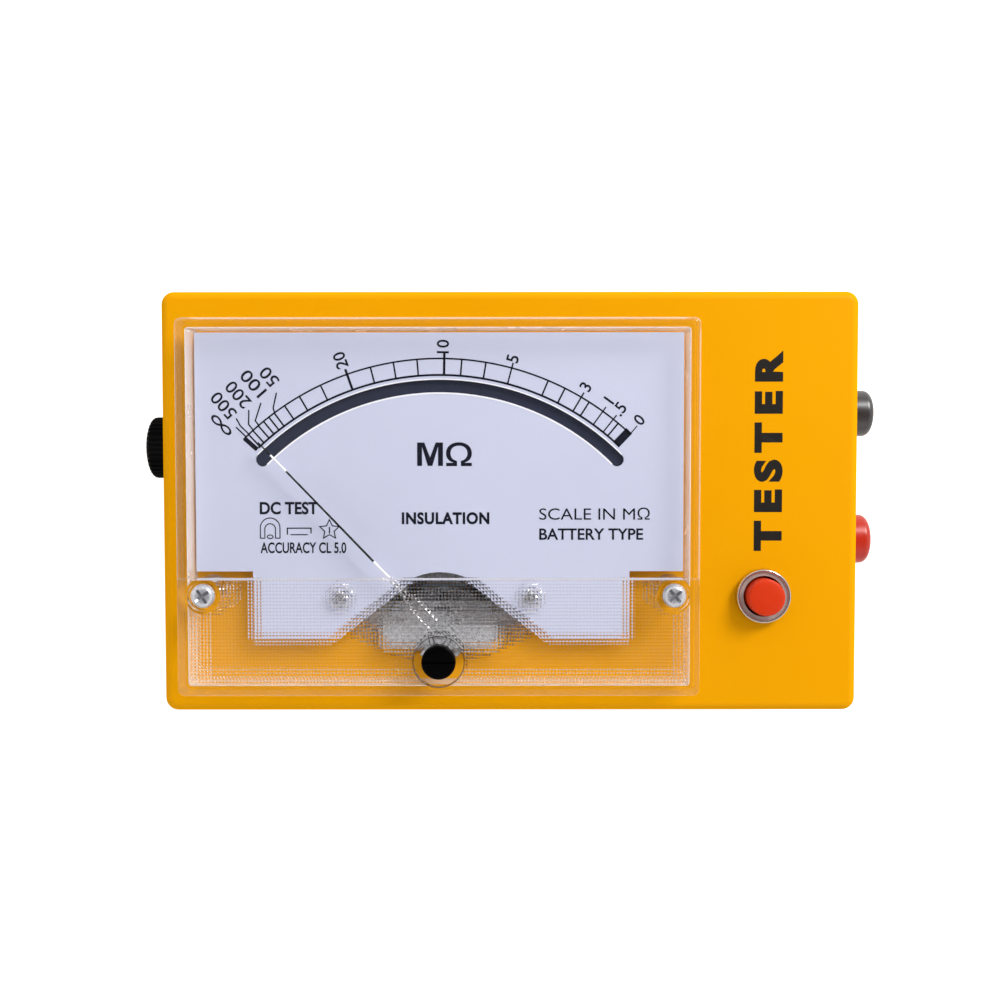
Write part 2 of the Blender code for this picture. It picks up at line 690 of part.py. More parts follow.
def pointer_arm():
    """The blade: flat at the hub, up through the dial's notch, then straight out to the tip."""
    stations = [
        # distance from the pivot, underside height, width, thickness
        (1.6, HUB_LOW, 1.0, 1.2),
        (8.6, HUB_LOW, 1.0, 1.2),
        (10.2, HUB_LOW + 0.4, 0.9, 1.2),
        (13.6, POINTER_Z - 0.8, 0.8, 1.0),
        (15.4, POINTER_Z, 0.7, 0.8),
        (46.0, POINTER_Z, 0.45, 0.8),
        (POINTER_TIP_R, POINTER_Z + 0.2, 0.25, 0.6),
    ]
    mesh_data = bmesh.new()
    rings = []
    for y, z, width, thickness in stations:
        corners = ((-width / 2, z), (width / 2, z), (width / 2, z + thickness), (-width / 2, z + thickness))
        rings.append([mesh_data.verts.new((x * MM, y * MM, height * MM)) for x, height in corners])
    for near, far in zip(rings, rings[1:]):
        for i in range(4):
            j = (i + 1) % 4
            mesh_data.faces.new((near[i], near[j], far[j], far[i]))
    mesh_data.faces.new(list(reversed(rings[0])))
    mesh_data.faces.new(rings[-1])
    return add("pointer_blade", mesh_data, BLACK)


def make_pointer():
    bore_r = STAFF_R + GAP
    hub = tube("pointer", bore_r, 2.4, HUB_LOW, HUB_HIGH, BLACK, sides=16)
    blade = pointer_arm()
    tail = block("pointer_tail", (-0.6, -6.6, HUB_LOW + 0.1), (0.6, -1.8, HUB_HIGH - 0.1))
    weight = block("tail_weight", (-1.7, -6.4, HUB_LOW), (1.7, -4.2, HUB_HIGH + 0.3))
    arms = [
        block("side_arm", (1.8, -0.5, HUB_LOW + 0.2), (5.2, 0.5, HUB_HIGH - 0.2)),
        block("side_arm", (-5.2, -0.5, HUB_LOW + 0.2), (-1.8, 0.5, HUB_HIGH - 0.2)),
    ]
    unite(hub, blade, tail, weight, *arms)
    for made in (hub, blade, tail, weight, *arms):
        at_rest_angle(made)


def make_hairspring(name, low, end_angle):
    """A flat spiral of 3 turns round its collet on the staff."""
    turns, per_turn, thick = 3, 12, 0.16
    high = low + SPRING_TALL
    bore_r = STAFF_R + GAP
    outer_r, inner_r = 4.6, bore_r + 0.45
    mesh_data = bmesh.new()
    rings = []
    count = turns * per_turn
    for i in range(count + 1):
        angle = math.radians(end_angle) - 2 * math.pi * (count - i) / per_turn
        radius = inner_r + (outer_r - inner_r) * i / count
        ring = []
        for across, z in ((-thick, low), (thick, low), (thick, high), (-thick, high)):
            place = Vector(((radius + across) * math.cos(angle), (radius + across) * math.sin(angle), z))
            ring.append(mesh_data.verts.new(place * MM))
        rings.append(ring)
    for near, far in zip(rings, rings[1:]):
        for i in range(4):
            j = (i + 1) % 4
            mesh_data.faces.new((near[i], near[j], far[j], far[i]))
    mesh_data.faces.new(list(reversed(rings[0])))
    mesh_data.faces.new(rings[-1])
    spring = add(name, mesh_data, BRASS)
    collet = tube("collet_" + name, bore_r, bore_r + 0.5, low + 0.05, high - 0.05, sides=12)
    unite(spring, collet)
    for made in (spring, collet):
        at_pivot(made)
    return spring


def make_zero_lever():
    """Forked lever round the upper jewel's boss: it carries the outer end of the hairspring."""
    low, high = LEVER_LOW, LEVER_HIGH
    lever = tube("zero_lever", 2.9, 4.2, low, high, BRASS)
    fork = block("lever_fork", (-2.1, -7.8, low + 0.05), (2.1, -3.3, high - 0.05))
    arm = block("lever_arm", (3.6, -0.6, low + 0.1), (6.2, 0.6, high - 0.1))
    tab = block("lever_tab", (5.3, -0.5, UPPER_SPRING_LOW + 0.1), (6.3, 0.5, high - 0.2))
    slot = block("lever_slot", (-0.95, -9, low - 1), (0.95, -4.75, high + 1))
    unite(lever, fork, arm, tab)
    cut(lever, slot)
    for made in (lever, fork, slot):
        at_pivot(made)
    for made in (arm, tab):
        made.rotation_euler = (0, 0, math.radians(225))
        at_pivot(made)


# Button

def make_button():
    bezel_profile = [
        (CAP_R + GAP, 51.7),
        (BEZEL_R - 0.9, 52.3),
        (BEZEL_R - 0.25, 51.9),
        (BEZEL_R, 51.3),
        (BEZEL_R, CASE_Z + GAP),
        (BARREL_R, CASE_Z + GAP),
        (BARREL_R, 36.0),
        (2.4, 36.0),
        (2.4, 37.5),
        (CAP_R + GAP, 37.5),
    ]
    bezel = turned("button_bezel", bezel_profile, CHROME, sides=28, hollow=True)
    moved(bezel, BUTTON_X, BUTTON_Y)
    cap_profile = [
        (0, 55.6),
        (2.6, 55.45),
        (CAP_R - 0.5, 55.0),
        (CAP_R, 54.4),
        (CAP_R, 43.5),
        (2.0, 43.5),
        (2.0, 33.0),
        (0, 33.0),
    ]
    moved(turned("button_cap", cap_profile, RED, sides=24), BUTTON_X, BUTTON_Y)
    spring = helix("button_spring", 3.4, 0.35, 37.8, 43.2, 4, STEEL)
    moved(spring, BUTTON_X, BUTTON_Y)
    nut = prism("button_nut", hexagon(15.0), PANEL_UNDER - GAP - 2.3, PANEL_UNDER - GAP, STEEL)
    moved(nut, BUTTON_X, BUTTON_Y)
    drill(nut, BARREL_R + GAP, 40, 50, BUTTON_X, BUTTON_Y, sides=24)
    block_low, block_high = (-6.5, -6.5, 24.0), (6.5, 6.5, 36.0 - GAP)
    switch = moved(block("switch_block", block_low, block_high, BLACK), BUTTON_X, BUTTON_Y)
    drill(switch, 2.4, 29.0, 40, BUTTON_X, BUTTON_Y)
    for side in (-1, 1):
        lug = block("switch_lug", (side * 3.5 - 1.2, -0.4, 21.0), (side * 3.5 + 1.2, 0.4, 25.0))
        unite(switch, moved(lug, BUTTON_X, BUTTON_Y))


# Knob and potentiometer: built along +Z, then laid to point out of the left wall

def fluted_outline(radius, depth):
    points = []
    for i in range(FLUTES):
        for share, dip in ((0.0, 0.0), (0.5, depth)):
            angle = 2 * math.pi * (i + share) / FLUTES
            points.append(((radius - dip) * math.cos(angle), (radius - dip) * math.sin(angle)))
    return points


def make_knob():
    wall_x = -CASE_X / 2
    start, end = 0.6, KNOB_OUT
    sections = [
        (fluted_outline(KNOB_R, 0.5), start),
        (fluted_outline(KNOB_R, 0.5), end - 1.0),
        (fluted_outline(KNOB_R - 1.0, 0.1), end),
    ]
    knob = loft("knob", sections, BLACK)
    recess = rod("knob_recess", 6.9, 0, 4.6, sides=20)
    bore = rod("knob_bore", 3.2, 0, end - 2.4)
    mark = block("knob_mark", (-KNOB_R, -0.4, end - 0.5), (-2.5, 0.4, end + 1))
    cut(knob, recess, bore, mark)
    shaft = rod("knob_shaft", 2.9, -9.0, end - 2.7, STEEL)
    body_profile = [
        (4.0, 4.0),
        (4.0, -WALL - GAP),
        (8.0, -WALL - GAP),
        (8.0, -12.5),
        (0, -12.5),
        (0, -9.6),
        (3.2, -9.6),
        (3.2, 4.0),
    ]
    body = turned("potentiometer", body_profile, ALUMINIUM, sides=20, hollow=True)
    nut = prism("potentiometer_nut", hexagon(11.0), GAP, 2.3, STEEL)
    nut_bore = rod("nut_bore", 4.3, -1, 5)
    cut(nut, nut_bore)
    for made in (knob, recess, bore, mark, shaft, body, nut, nut_bore):
        lying(made, wall_x, KNOB_Y, WALL_Z, -1)


# Sockets on the right wall

def make_socket(socket, material):
    """An insulated 4 mm socket: smooth head outside, neck through the wall, nut inside."""
    name, y, radius, out = socket["name"], socket["y"], socket["radius"], socket["out"]
    wall_x = CASE_X / 2
    head_profile = [
        (3.3, out),
        (radius - 0.8, out),
        (radius - 0.25, out - 0.25),
        (radius, out - 0.8),
        (radius, GAP),
        (4.0, GAP),
        (4.0, -7.0),
        (3.3, -7.0),
    ]
    head = turned(f"{name}_socket_head", head_profile, material, sides=24, hollow=True)
    contact_profile = [
        (BORE_R, out - 0.6),
        (3.0, out - 0.6),
        (3.0, -9.0),
        (1.2, -9.0),
        (1.2, -12.5),
        (0, -12.5),
        (0, -7.0),
        (BORE_R, -7.0),
    ]
    contact = turned(f"{name}_socket_contact", contact_profile, BRASS, sides=16, hollow=True)
    low, high = -WALL - GAP - 2.5, -WALL - GAP
    nut = prism(f"{name}_socket_nut", hexagon(9.8), low, high, STEEL)
    nut_bore = rod("nut_bore", 4.3, low - 1, high + 1)
    cut(nut, nut_bore)
    for made in (head, contact, nut, nut_bore):
        lying(made, wall_x, y, WALL_Z, 1)


def make_wires():
    tail_x = CASE_X / 2 - 12.5 - GAP
    board_top = BOARD_Z + BOARD_THICK + GAP
    black_route = [
        (tail_x, BLACK_SOCKET["y"], WALL_Z),
        (66, 23.8, 25.5),
        (52, 28, 24.5),
        (36, 33, 23),
        (22, 36.5, 18),
        (11.5, 36.5, 14.5),
        (10, 36, board_top + 2),
        (10, 36, board_top),
    ]
    wire("black_socket_wire", black_route, BLACK)
    red_route = [
        (tail_x, RED_SOCKET["y"], WALL_Z),
        (67, -10.2, 25.8),
        (54, -3, 24.5),
        (40, 5, 23.5),
        (28, 12, 23),
        (18, 17.5, 19.5),
        (11.5, 20.5, 14.5),
        (10, 21, board_top + 2),
        (10, 21, board_top),
    ]
    wire("red_socket_wire", red_route, RED)


# Circuit and batteries

def make_circuit():
    board_low = (BOARD_LEFT, BOARD_LOW, BOARD_Z)
    board = block("circuit_board", board_low, (BOARD_RIGHT, BOARD_HIGH, BOARD_Z + BOARD_THICK), GREEN)
    for x in (BOARD_LEFT + POST_INSET, BOARD_RIGHT - POST_INSET):
        for y in (BOARD_LOW + POST_INSET, BOARD_HIGH - POST_INSET):
            drill(board, 1.5, 5, 12, x, y, sides=8)
    base = BOARD_Z + BOARD_THICK + GAP
    core_low, core_high = (-12, -5, base), (12, 5, base + 20)
    core = moved(block("transformer_core", core_low, core_high, IRON), -40, 25)
    for side in (-1, 1):
        near, far = sorted((side * 3, side * 8))
        window = block("core_window", (near, -9, base + 4), (far, 9, base + 16))
        cut(core, moved(window, -40, 25))
    coil_low, coil_high = (-7.7, -9.5, base + 4.3), (7.7, 9.5, base + 15.7)
    winding = moved(block("transformer_winding", coil_low, coil_high, COPPER), -40, 25)
    passage = block("winding_passage", (-3.3, -5.3, base), (3.3, 5.3, base + 20))
    cut(winding, moved(passage, -40, 25))
    can_profile = [
        (0, base + 20),
        (5.4, base + 20),
        (6.2, base + 19.4),
        (6.2, base),
        (0, base),
    ]
    moved(turned("filter_capacitor", can_profile, SLEEVE), -14, 33)


def make_battery_holder():
    holder_low = (HOLDER_LEFT, -HOLDER_HALF_Y, CASE_BOTTOM)
    holder = block("battery_holder", holder_low, (HOLDER_RIGHT, HOLDER_HALF_Y, HOLDER_TOP), BLACK)
    wall = 1.2
    hollow_low = (HOLDER_LEFT + wall, -HOLDER_HALF_Y + wall, 0)
    hollow_high = (HOLDER_RIGHT - wall, HOLDER_HALF_Y - wall, HOLDER_TOP - wall)
    cut(holder, block("holder_hollow", hollow_low, hollow_high))
    return holder


def make_battery_contacts():
    """Two plated strips with a bump for each cell."""
    for side, where in ((1, "upper"), (-1, "lower")):
        outer = HOLDER_HALF_Y - 1.2 - GAP
        inner = outer - 0.5
        low_y, high_y = sorted((side * inner, side * outer))
        strip_low = (HOLDER_LEFT + 3, low_y, 5.0)
        strip = block(f"battery_contact_{where}", strip_low, (HOLDER_RIGHT - 3, high_y, 16.0), STEEL)
        for i in range(CELLS):
            bump = turned("contact_bump", [(0, 0.45), (1.6, 0), (1.6, -0.3), (0, -0.3)], sides=8)
            bump.rotation_euler = (math.radians(90 * side), 0, 0)
            moved(bump, first_cell_x() + CELL_PITCH * i, side * inner, cell_z())
            unite(strip, bump)


def first_cell_x():
    return (HOLDER_LEFT + HOLDER_RIGHT - CELL_PITCH * (CELLS - 1)) / 2


def cell_z():
    return HOLDER_TOP - 1.2 - GAP - CELL_R


def make_battery_cells():
    half = CELL_LENGTH / 2
    profile = [
        (0, half + 1.0),
        (2.6, half + 1.0),
        (2.6, half),
        (CELL_R, half),
        (CELL_R, -half),
        (0, -half),
    ]
    for i in range(CELLS):
        cell = turned(f"battery_cell_{i + 1}", profile, SLEEVE, sides=16)
        turn = 90 if i % 2 else -90
        cell.rotation_euler = (math.radians(turn), 0, 0)
        moved(cell, first_cell_x() + CELL_PITCH * i, 0, cell_z())


def main():
    make_front_case()
    make_rear_cover()
    make_battery_door()
    make_rear_screws()
    make_meter_cover()
    make_cover_screws()
    make_dial()
    make_zero_adjuster()
    make_meter_frame()
    make_bridges()
    make_jewel_screws()
    make_magnet()
    make_moving_coil()
    make_pointer()
    make_hairspring("upper_hairspring", UPPER_SPRING_LOW, end_angle=225)
    make_hairspring("lower_hairspring", LOWER_SPRING_LOW, end_angle=90)
    make_zero_lever()
    make_button()
    make_knob()
    make_socket(BLACK_SOCKET, BLACK)
    make_socket(RED_SOCKET, RED)
    make_wires()
    make_circuit()
    make_battery_holder()
    make_battery_contacts()
    make_battery_cells()


main()
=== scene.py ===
"""The look of the insulation resistance tester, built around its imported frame.

Lengths are in millimetres in the calls below and become metres when a mesh is made. +X is right,
+Y is up on the dial and +Z comes out of the face.
"""

import json
import math

import bmesh
import bpy
from mathutils import Matrix, Vector


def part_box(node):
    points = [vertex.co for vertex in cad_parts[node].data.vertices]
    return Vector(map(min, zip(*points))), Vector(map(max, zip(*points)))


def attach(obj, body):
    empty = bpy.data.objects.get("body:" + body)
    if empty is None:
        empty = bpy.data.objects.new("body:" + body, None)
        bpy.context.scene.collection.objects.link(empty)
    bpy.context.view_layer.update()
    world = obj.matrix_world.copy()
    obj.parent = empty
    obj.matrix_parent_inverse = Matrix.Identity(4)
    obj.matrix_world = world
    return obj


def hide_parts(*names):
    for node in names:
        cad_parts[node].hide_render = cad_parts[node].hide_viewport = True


MM = 0.001
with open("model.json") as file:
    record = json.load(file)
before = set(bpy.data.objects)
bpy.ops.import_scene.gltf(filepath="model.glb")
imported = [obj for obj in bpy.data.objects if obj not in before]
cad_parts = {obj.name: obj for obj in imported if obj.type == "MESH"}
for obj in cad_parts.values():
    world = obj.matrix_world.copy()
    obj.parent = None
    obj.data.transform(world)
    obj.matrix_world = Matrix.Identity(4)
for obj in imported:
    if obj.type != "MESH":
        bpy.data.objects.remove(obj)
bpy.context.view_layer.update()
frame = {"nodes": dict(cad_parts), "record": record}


def node_box(name):
    """A CAD node's lowest and highest corners, in millimetres."""
    low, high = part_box(name)
    return low / MM, high / MM


def node_centre(name):
    low, high = node_box(name)
    return (low + high) / 2


CASE_LOW, CASE_HIGH = node_box("front_case")
FACE = CASE_HIGH.z
COVER_LOW, COVER_HIGH = node_box("meter_cover")
DIAL_TOP = node_box("dial_plate")[1].z
PIVOT = node_centre("core_magnet")
ADJUSTER = node_centre("zero_adjuster")
BUTTON = node_centre("button_cap")
# Thickness of the case's side walls and of its face.
WALL, PANEL = 2.5, 3.0


# Surfaces

NOISE_SPAN = (0.3, 0.7)
ACRYLIC_IOR = 1.49
# How slanted the yellow is seen, from 0 to 1, where it starts to turn matt and where it is matt.
MATT_FROM_TO = (0.06, 0.5)
# The power that leaves the clear plastic open to light but for the steepest slants.
SLANT_POWER = 5.0


def srgb(red, green, blue):
    """A colour as it looks on a screen, 0 to 255, as linear values."""
    linear = []
    for value in (red, green, blue):
        share = value / 255
        linear.append(share / 12.92 if share <= 0.04045 else ((share + 0.055) / 1.055) ** 2.4)
    return (*linear, 1.0)


class Surface:
    """A Principled material with soft changes of colour and gloss and a fine grain."""

    def __init__(self, name, colour, roughness, metallic=0.0, **sockets):
        self.material = bpy.data.materials.new(name)
        self.material.use_nodes = True
        self.nodes = self.material.node_tree.nodes
        self.links = self.material.node_tree.links
        self.bsdf = self.nodes["Principled BSDF"]
        self.bsdf.inputs["Base Color"].default_value = colour
        self.bsdf.inputs["Roughness"].default_value = roughness
        self.bsdf.inputs["Metallic"].default_value = metallic
        for socket, value in sockets.items():
            self.bsdf.inputs[socket.replace("_", " ")].default_value = value
        self.material.diffuse_color = colour
        self.colour = colour
        self.roughness = roughness
        self.coordinates = self.nodes.new("ShaderNodeTexCoord").outputs["Object"]
        self.height = None

    def noise(self, size, detail=3.0, stretch=(1, 1, 1)):
        """Noise whose features are about size millimetres across, from 0 to 1."""
        mapping = self.nodes.new("ShaderNodeMapping")
        mapping.inputs["Scale"].default_value = stretch
        self.links.new(self.coordinates, mapping.inputs["Vector"])
        texture = self.nodes.new("ShaderNodeTexNoise")
        texture.inputs["Scale"].default_value = 1 / (size * MM)
        texture.inputs["Detail"].default_value = detail
        self.links.new(mapping.outputs["Vector"], texture.inputs["Vector"])
        return texture.outputs["Fac"]

    def ramp(self, value, low, high, out_low=0.0, out_high=1.0):
        """The value, stretched from low..high to out_low..out_high and clamped there."""
        node = self.nodes.new("ShaderNodeMapRange")
        settings = {"From Min": low, "From Max": high, "To Min": out_low, "To Max": out_high}
        for socket, number in settings.items():
            node.inputs[socket].default_value = number
        self.links.new(value, node.inputs["Value"])
        return node.outputs["Result"]

    def tint(self, amount, size, other=None, **noise):
        """Mixes the colour with another one, or with a darker one, in soft patches."""
        value = self.ramp(self.noise(size, **noise), *NOISE_SPAN)
        mix = self.nodes.new("ShaderNodeMix")
        mix.data_type = "RGBA"
        dark = other or (*[channel * (1 - amount) for channel in self.colour[:3]], 1.0)
        mix.inputs["A"].default_value = self.colour
        mix.inputs["B"].default_value = dark
        self.links.new(value, mix.inputs["Factor"])
        self.links.new(mix.outputs["Result"], self.bsdf.inputs["Base Color"])
        return self

    def gloss(self, spread, size, **noise):
        """Lets the roughness wander by this share of itself."""
        low, high = self.roughness * (1 - spread), self.roughness * (1 + spread)
        value = self.ramp(self.noise(size, **noise), *NOISE_SPAN, low, high)
        self.links.new(value, self.bsdf.inputs["Roughness"])
        return self

    def grain(self, strength, size, depth=0.05, **noise):
        """A fine relief, depth millimetres deep."""
        bump = self.nodes.new("ShaderNodeBump")
        bump.inputs["Strength"].default_value = strength
        bump.inputs["Distance"].default_value = depth * MM
        self.links.new(self.noise(size, **noise), bump.inputs["Height"])
        if self.height:
            self.links.new(self.height, bump.inputs["Normal"])
        self.height = bump.outputs["Normal"]
        self.links.new(self.height, self.bsdf.inputs["Normal"])
        return self


def mix_shaders(surface, share, first, second):
    """The surface shows a share, 0 to 1, of the second shader over the first."""
    mix = surface.nodes.new("ShaderNodeMixShader")
    surface.links.new(share, mix.inputs["Fac"])
    surface.links.new(first.outputs["BSDF"], mix.inputs[1])
    surface.links.new(second.outputs["BSDF"], mix.inputs[2])
    surface.links.new(mix.outputs["Shader"], surface.nodes["Material Output"].inputs["Surface"])


def math_node(surface, operation, first, second):
    """A Math node, whose second input is a socket or a plain number."""
    node = surface.nodes.new("ShaderNodeMath")
    node.operation = operation
    surface.links.new(first, node.inputs[0])
    if isinstance(second, float):
        node.inputs[1].default_value = second
    else:
        surface.links.new(second, node.inputs[1])
    return node.outputs["Value"]


def dull_at_edges(surface):
    """Matt where it is seen at a slant, so that the rounded edges don't whiten."""
    matt = surface.nodes.new("ShaderNodeBsdfDiffuse")
    matt.inputs["Color"].default_value = surface.colour
    slant = surface.nodes.new("ShaderNodeLayerWeight").outputs["Facing"]
    mix_shaders(surface, surface.ramp(slant, *MATT_FROM_TO), surface.bsdf, matt)


def clear_plastic(name, colour, roughness, clearness, let_through):
    """Moulded acrylic that lets a share of the light through to what is under it."""
    surface = Surface(name, colour, roughness, Transmission_Weight=clearness, IOR=ACRYLIC_IOR)
    surface.gloss(0.5, 9.0).grain(0.02, 14.0, depth=0.2)
    see_through = surface.nodes.new("ShaderNodeBsdfTransparent")
    see_through.inputs["Color"].default_value = (0.97, 0.97, 0.98, 1.0)
    path = surface.nodes.new("ShaderNodeLightPath")
    slant = surface.nodes.new("ShaderNodeLayerWeight").outputs["Facing"]
    steep = math_node(surface, "POWER", slant, SLANT_POWER)
    let_in = surface.ramp(steep, 0.0, 1.0, let_through, 0.0)
    lighting_rays = (path.outputs["Is Shadow Ray"], path.outputs["Is Diffuse Ray"])
    lighting = math_node(surface, "MAXIMUM", *lighting_rays)
    share = math_node(surface, "MULTIPLY", lighting, let_in)
    mix_shaders(surface, share, surface.bsdf, see_through)
    return surface


yellow = Surface("yellow_abs", srgb(245, 167, 0), 0.38, Specular_IOR_Level=0.07)
yellow.tint(0.05, 70).gloss(0.18, 26).grain(0.05, 0.5, depth=0.02).grain(0.04, 24, depth=0.3)
dull_at_edges(yellow)
clear = clear_plastic("clear_acrylic", (1.0, 1.0, 1.0, 1.0), 0.015, 1.0, 0.96)
# Whitened, less clear copies of the acrylic for the cover's inner and outer walls: painted
# highlight for the bright lines of light seen in the walls.
wall_highlight_acrylic = clear_plastic("acrylic_walls_painted_highlight", (1.0, 0.95, 0.91, 1.0), 0.2, 0.5, 0.7)
# A darker copy for the band's facets that lean one way: painted shade for the dark dashes in the
# band.
facet_shade_acrylic = clear_plastic("acrylic_facets_painted_shade", (0.8, 0.74, 0.68, 1.0), 0.05, 1.0, 0.93)
# A near-black copy for the walls of the adjuster's post: painted shade for the dark ring round the
# adjuster.
post_shade_acrylic = clear_plastic("acrylic_bore_painted_shade", (0.14, 0.12, 0.11, 1.0), 0.05, 1.0, 0.9)
# Painted highlight on the cover's outer walls, as on the inner ones.
outer_wall_highlight_acrylic = clear_plastic("acrylic_outside_painted_highlight", (1.0, 0.95, 0.86, 1.0), 0.08, 0.9, 0.85)
white = Surface("dial_white", srgb(220, 223, 245), 0.42)
white.tint(0.03, 40).gloss(0.2, 12).grain(0.05, 0.35, depth=0.01)
# A white that glows a little, though it is no lamp: painted highlight for the shine along the
# slot's edges and on the pointer's bare root and its band.
painted_glint = Surface("painted_highlight_white", srgb(250, 250, 255), 0.4, Emission_Strength=0.12)
painted_glint.bsdf.inputs["Emission Color"].default_value = (1.0, 1.0, 1.0, 1.0)
painted_glint.tint(0.03, 10).gloss(0.2, 6)
# The mirror strip is a dark blue-grey non-metal: painted reflection of the dark room above it.
dark_reflection_mirror = Surface("dial_mirror", srgb(58, 62, 80), 0.10, Specular_IOR_Level=0.35)
dark_reflection_mirror.tint(0.15, 30).gloss(0.4, 8)
ink = Surface("printing_ink", srgb(14, 16, 36), 0.55, Specular_IOR_Level=0.15)
ink.tint(0.12, 1.5).gloss(0.2, 2).grain(0.1, 0.2, depth=0.01)
legend = Surface("panel_ink", srgb(30, 26, 22), 0.6, Specular_IOR_Level=0.2)
legend.tint(0.12, 4).gloss(0.2, 3).grain(0.1, 0.25, depth=0.01)
black = Surface("black_plastic", srgb(10, 8, 8), 0.25, Specular_IOR_Level=0.35)
black.tint(0.2, 5).gloss(0.25, 4).grain(0.06, 0.4, depth=0.02)
jet = Surface("jet_plastic", srgb(3, 2, 2), 0.35, Specular_IOR_Level=0.08)
jet.tint(0.3, 4).gloss(0.2, 3).grain(0.06, 0.4, depth=0.02)
charcoal = Surface("charcoal_plastic", srgb(42, 37, 39), 0.32, Specular_IOR_Level=0.9)
charcoal.tint(0.12, 6).gloss(0.2, 4).grain(0.05, 0.5, depth=0.02)
nickel = Surface("nickel_plate", srgb(252, 252, 255), 0.18, 0.34)
nickel.tint(0.62, 0.9, detail=6.0).gloss(0.3, 1.5).grain(0.8, 1.1, depth=0.16)
# Near-white for the yoke, core, its support and the coil deep in the notch: painted light that
# lifts the shade the dial casts there, not their own colour.
shade_lifting_white = Surface("shade_lifting_white_iron", srgb(252, 252, 255), 0.24, 0.1)
shade_lifting_white.tint(0.6, 1.1, detail=6.0).gloss(0.3, 1.5).grain(0.6, 1.0, depth=0.12)
red = Surface("red_plastic", srgb(190, 40, 8), 0.32, Specular_IOR_Level=0.5)
red.tint(0.06, 8).gloss(0.2, 5).grain(0.05, 0.5, depth=0.02)
orange = Surface("button_plastic", srgb(218, 54, 10), 0.4, Specular_IOR_Level=0.25)
orange.tint(0.05, 5).gloss(0.2, 4).grain(0.06, 0.35, depth=0.02)
chrome = Surface("chrome", srgb(216, 208, 204), 0.2, 1.0)
chrome.tint(0.06, 3).gloss(0.5, 2.5).grain(0.04, 0.6, depth=0.01)
satin = Surface("satin_chrome", srgb(206, 196, 190), 0.3, 0.45)
satin.tint(0.1, 3).gloss(0.3, 2.5).grain(0.06, 0.6, depth=0.01)
zinc = Surface("zinc_steel", srgb(222, 222, 228), 0.22, 0.62)
zinc.tint(0.22, 1.2).gloss(0.4, 0.9).grain(0.12, 0.5, depth=0.02)
aluminium = Surface("aluminium", srgb(200, 196, 198), 0.26, 1.0)
aluminium.tint(0.12, 9).gloss(0.3, 3).grain(0.25, 0.9, depth=0.02, stretch=(1, 14, 1))
iron = Surface("soft_iron", srgb(132, 132, 136), 0.42, 1.0)
iron.tint(0.3, 6).gloss(0.3, 2).grain(0.2, 0.7, depth=0.03)
brass = Surface("brass", srgb(214, 178, 98), 0.26, 1.0)
brass.tint(0.2, 3, other=srgb(176, 138, 70)).gloss(0.4, 1.5).grain(0.08, 0.5, depth=0.02)
copper = Surface("enamelled_copper", srgb(150, 70, 36), 0.32, 0.7)
copper.tint(0.3, 1.2).gloss(0.3, 1).grain(0.5, 0.35, depth=0.1, stretch=(0.05, 0.05, 1))
green = Surface("circuit_board", srgb(24, 84, 46), 0.35)
green.tint(0.35, 2.4, other=srgb(48, 120, 66)).gloss(0.3, 3).grain(0.1, 0.8, depth=0.03)
sleeve = Surface("cell_sleeve", srgb(36, 62, 140), 0.3)
sleeve.tint(0.2, 14).gloss(0.3, 5).grain(0.1, 3, depth=0.05)

SLOT_SURFACES = {
    "yellow_abs": yellow,
    "clear_acrylic": clear,
    "dial_white": white,
    "dial_mirror": dark_reflection_mirror,
    "black_plastic": black,
    "red_plastic": red,
    "chrome": chrome,
    "zinc_steel": zinc,
    "aluminium": aluminium,
    "soft_iron": iron,
    "brass": brass,
    "enamelled_copper": copper,
    "circuit_board": green,
    "cell_sleeve": sleeve,
}
PLATED = (
    "meter_frame",
    "upper_bridge",
    "lower_bridge",
    "zero_lever",
    "upper_hairspring",
    "upper_jewel_screw",
    "frame_screw_left",
    "frame_screw_right",
)
# These lie in the dial's shade and take the near-white, a painted light.
SHADE_LIFTED = ("yoke_ring", "core_magnet", "core_support", "moving_coil")
NODE_SURFACES = dict.fromkeys(PLATED, nickel) | dict.fromkeys(SHADE_LIFTED, shade_lifting_white)


def dress_cad_nodes():
    for part in frame["record"]["subparts"]:
        piece = frame["nodes"][part["node"]]
        piece.data.materials.clear()
        surface = NODE_SURFACES.get(part["node"], SLOT_SURFACES[part["material_slot"]])
        piece.data.materials.append(surface.material)


# Making pieces

def add(name, mesh_data, surface):
    """An object from a bmesh in millimetres."""
    bmesh.ops.recalc_face_normals(mesh_data, faces=mesh_data.faces)
    bmesh.ops.scale(mesh_data, verts=mesh_data.verts, vec=(MM, MM, MM))
    mesh = bpy.data.meshes.new(name)
    mesh_data.to_mesh(mesh)
    mesh_data.free()
    if surface:
        mesh.materials.append(surface.material)
    piece = bpy.data.objects.new(name, mesh)
    bpy.context.scene.collection.objects.link(piece)
    return piece


def smooth(piece, angle=32.0):
    """Rounded faces shade smoothly, and flat ones stay flat."""
    piece.data.shade_smooth()
    piece.data.set_sharp_from_angle(angle=math.radians(angle))
    modifier = piece.modifiers.new("flat_faces", "WEIGHTED_NORMAL")
    modifier.keep_sharp = True
    return piece


def place(piece, body, slot, *nodes):
    """The piece rides on a body and stands for these CAD nodes, which are hidden. The slot is not
    used.
    """
    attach(piece, body)
    if nodes:
        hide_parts(*nodes)
    return piece


def loft(name, sections, surface=None):
    """A closed solid through outlines of equally many points: sections of (points, z)."""
    mesh_data = bmesh.new()
    rings = []
    for points, z in sections:
        rings.append([mesh_data.verts.new((x, y, z)) for x, y in points])
    for low, high in zip(rings, rings[1:]):
        for i, corner in enumerate(low):
            j = (i + 1) % len(low)
            mesh_data.faces.new((corner, low[j], high[j], high[i]))
    mesh_data.faces.new(list(reversed(rings[0])))
    mesh_data.faces.new(rings[-1])
    return add(name, mesh_data, surface)


def block(name, low, high):
    (x0, y0, z0), (x1, y1, z1) = low, high
    corners = [(x0, y0), (x1, y0), (x1, y1), (x0, y1)]
    return loft(name, [(corners, z0), (corners, z1)])


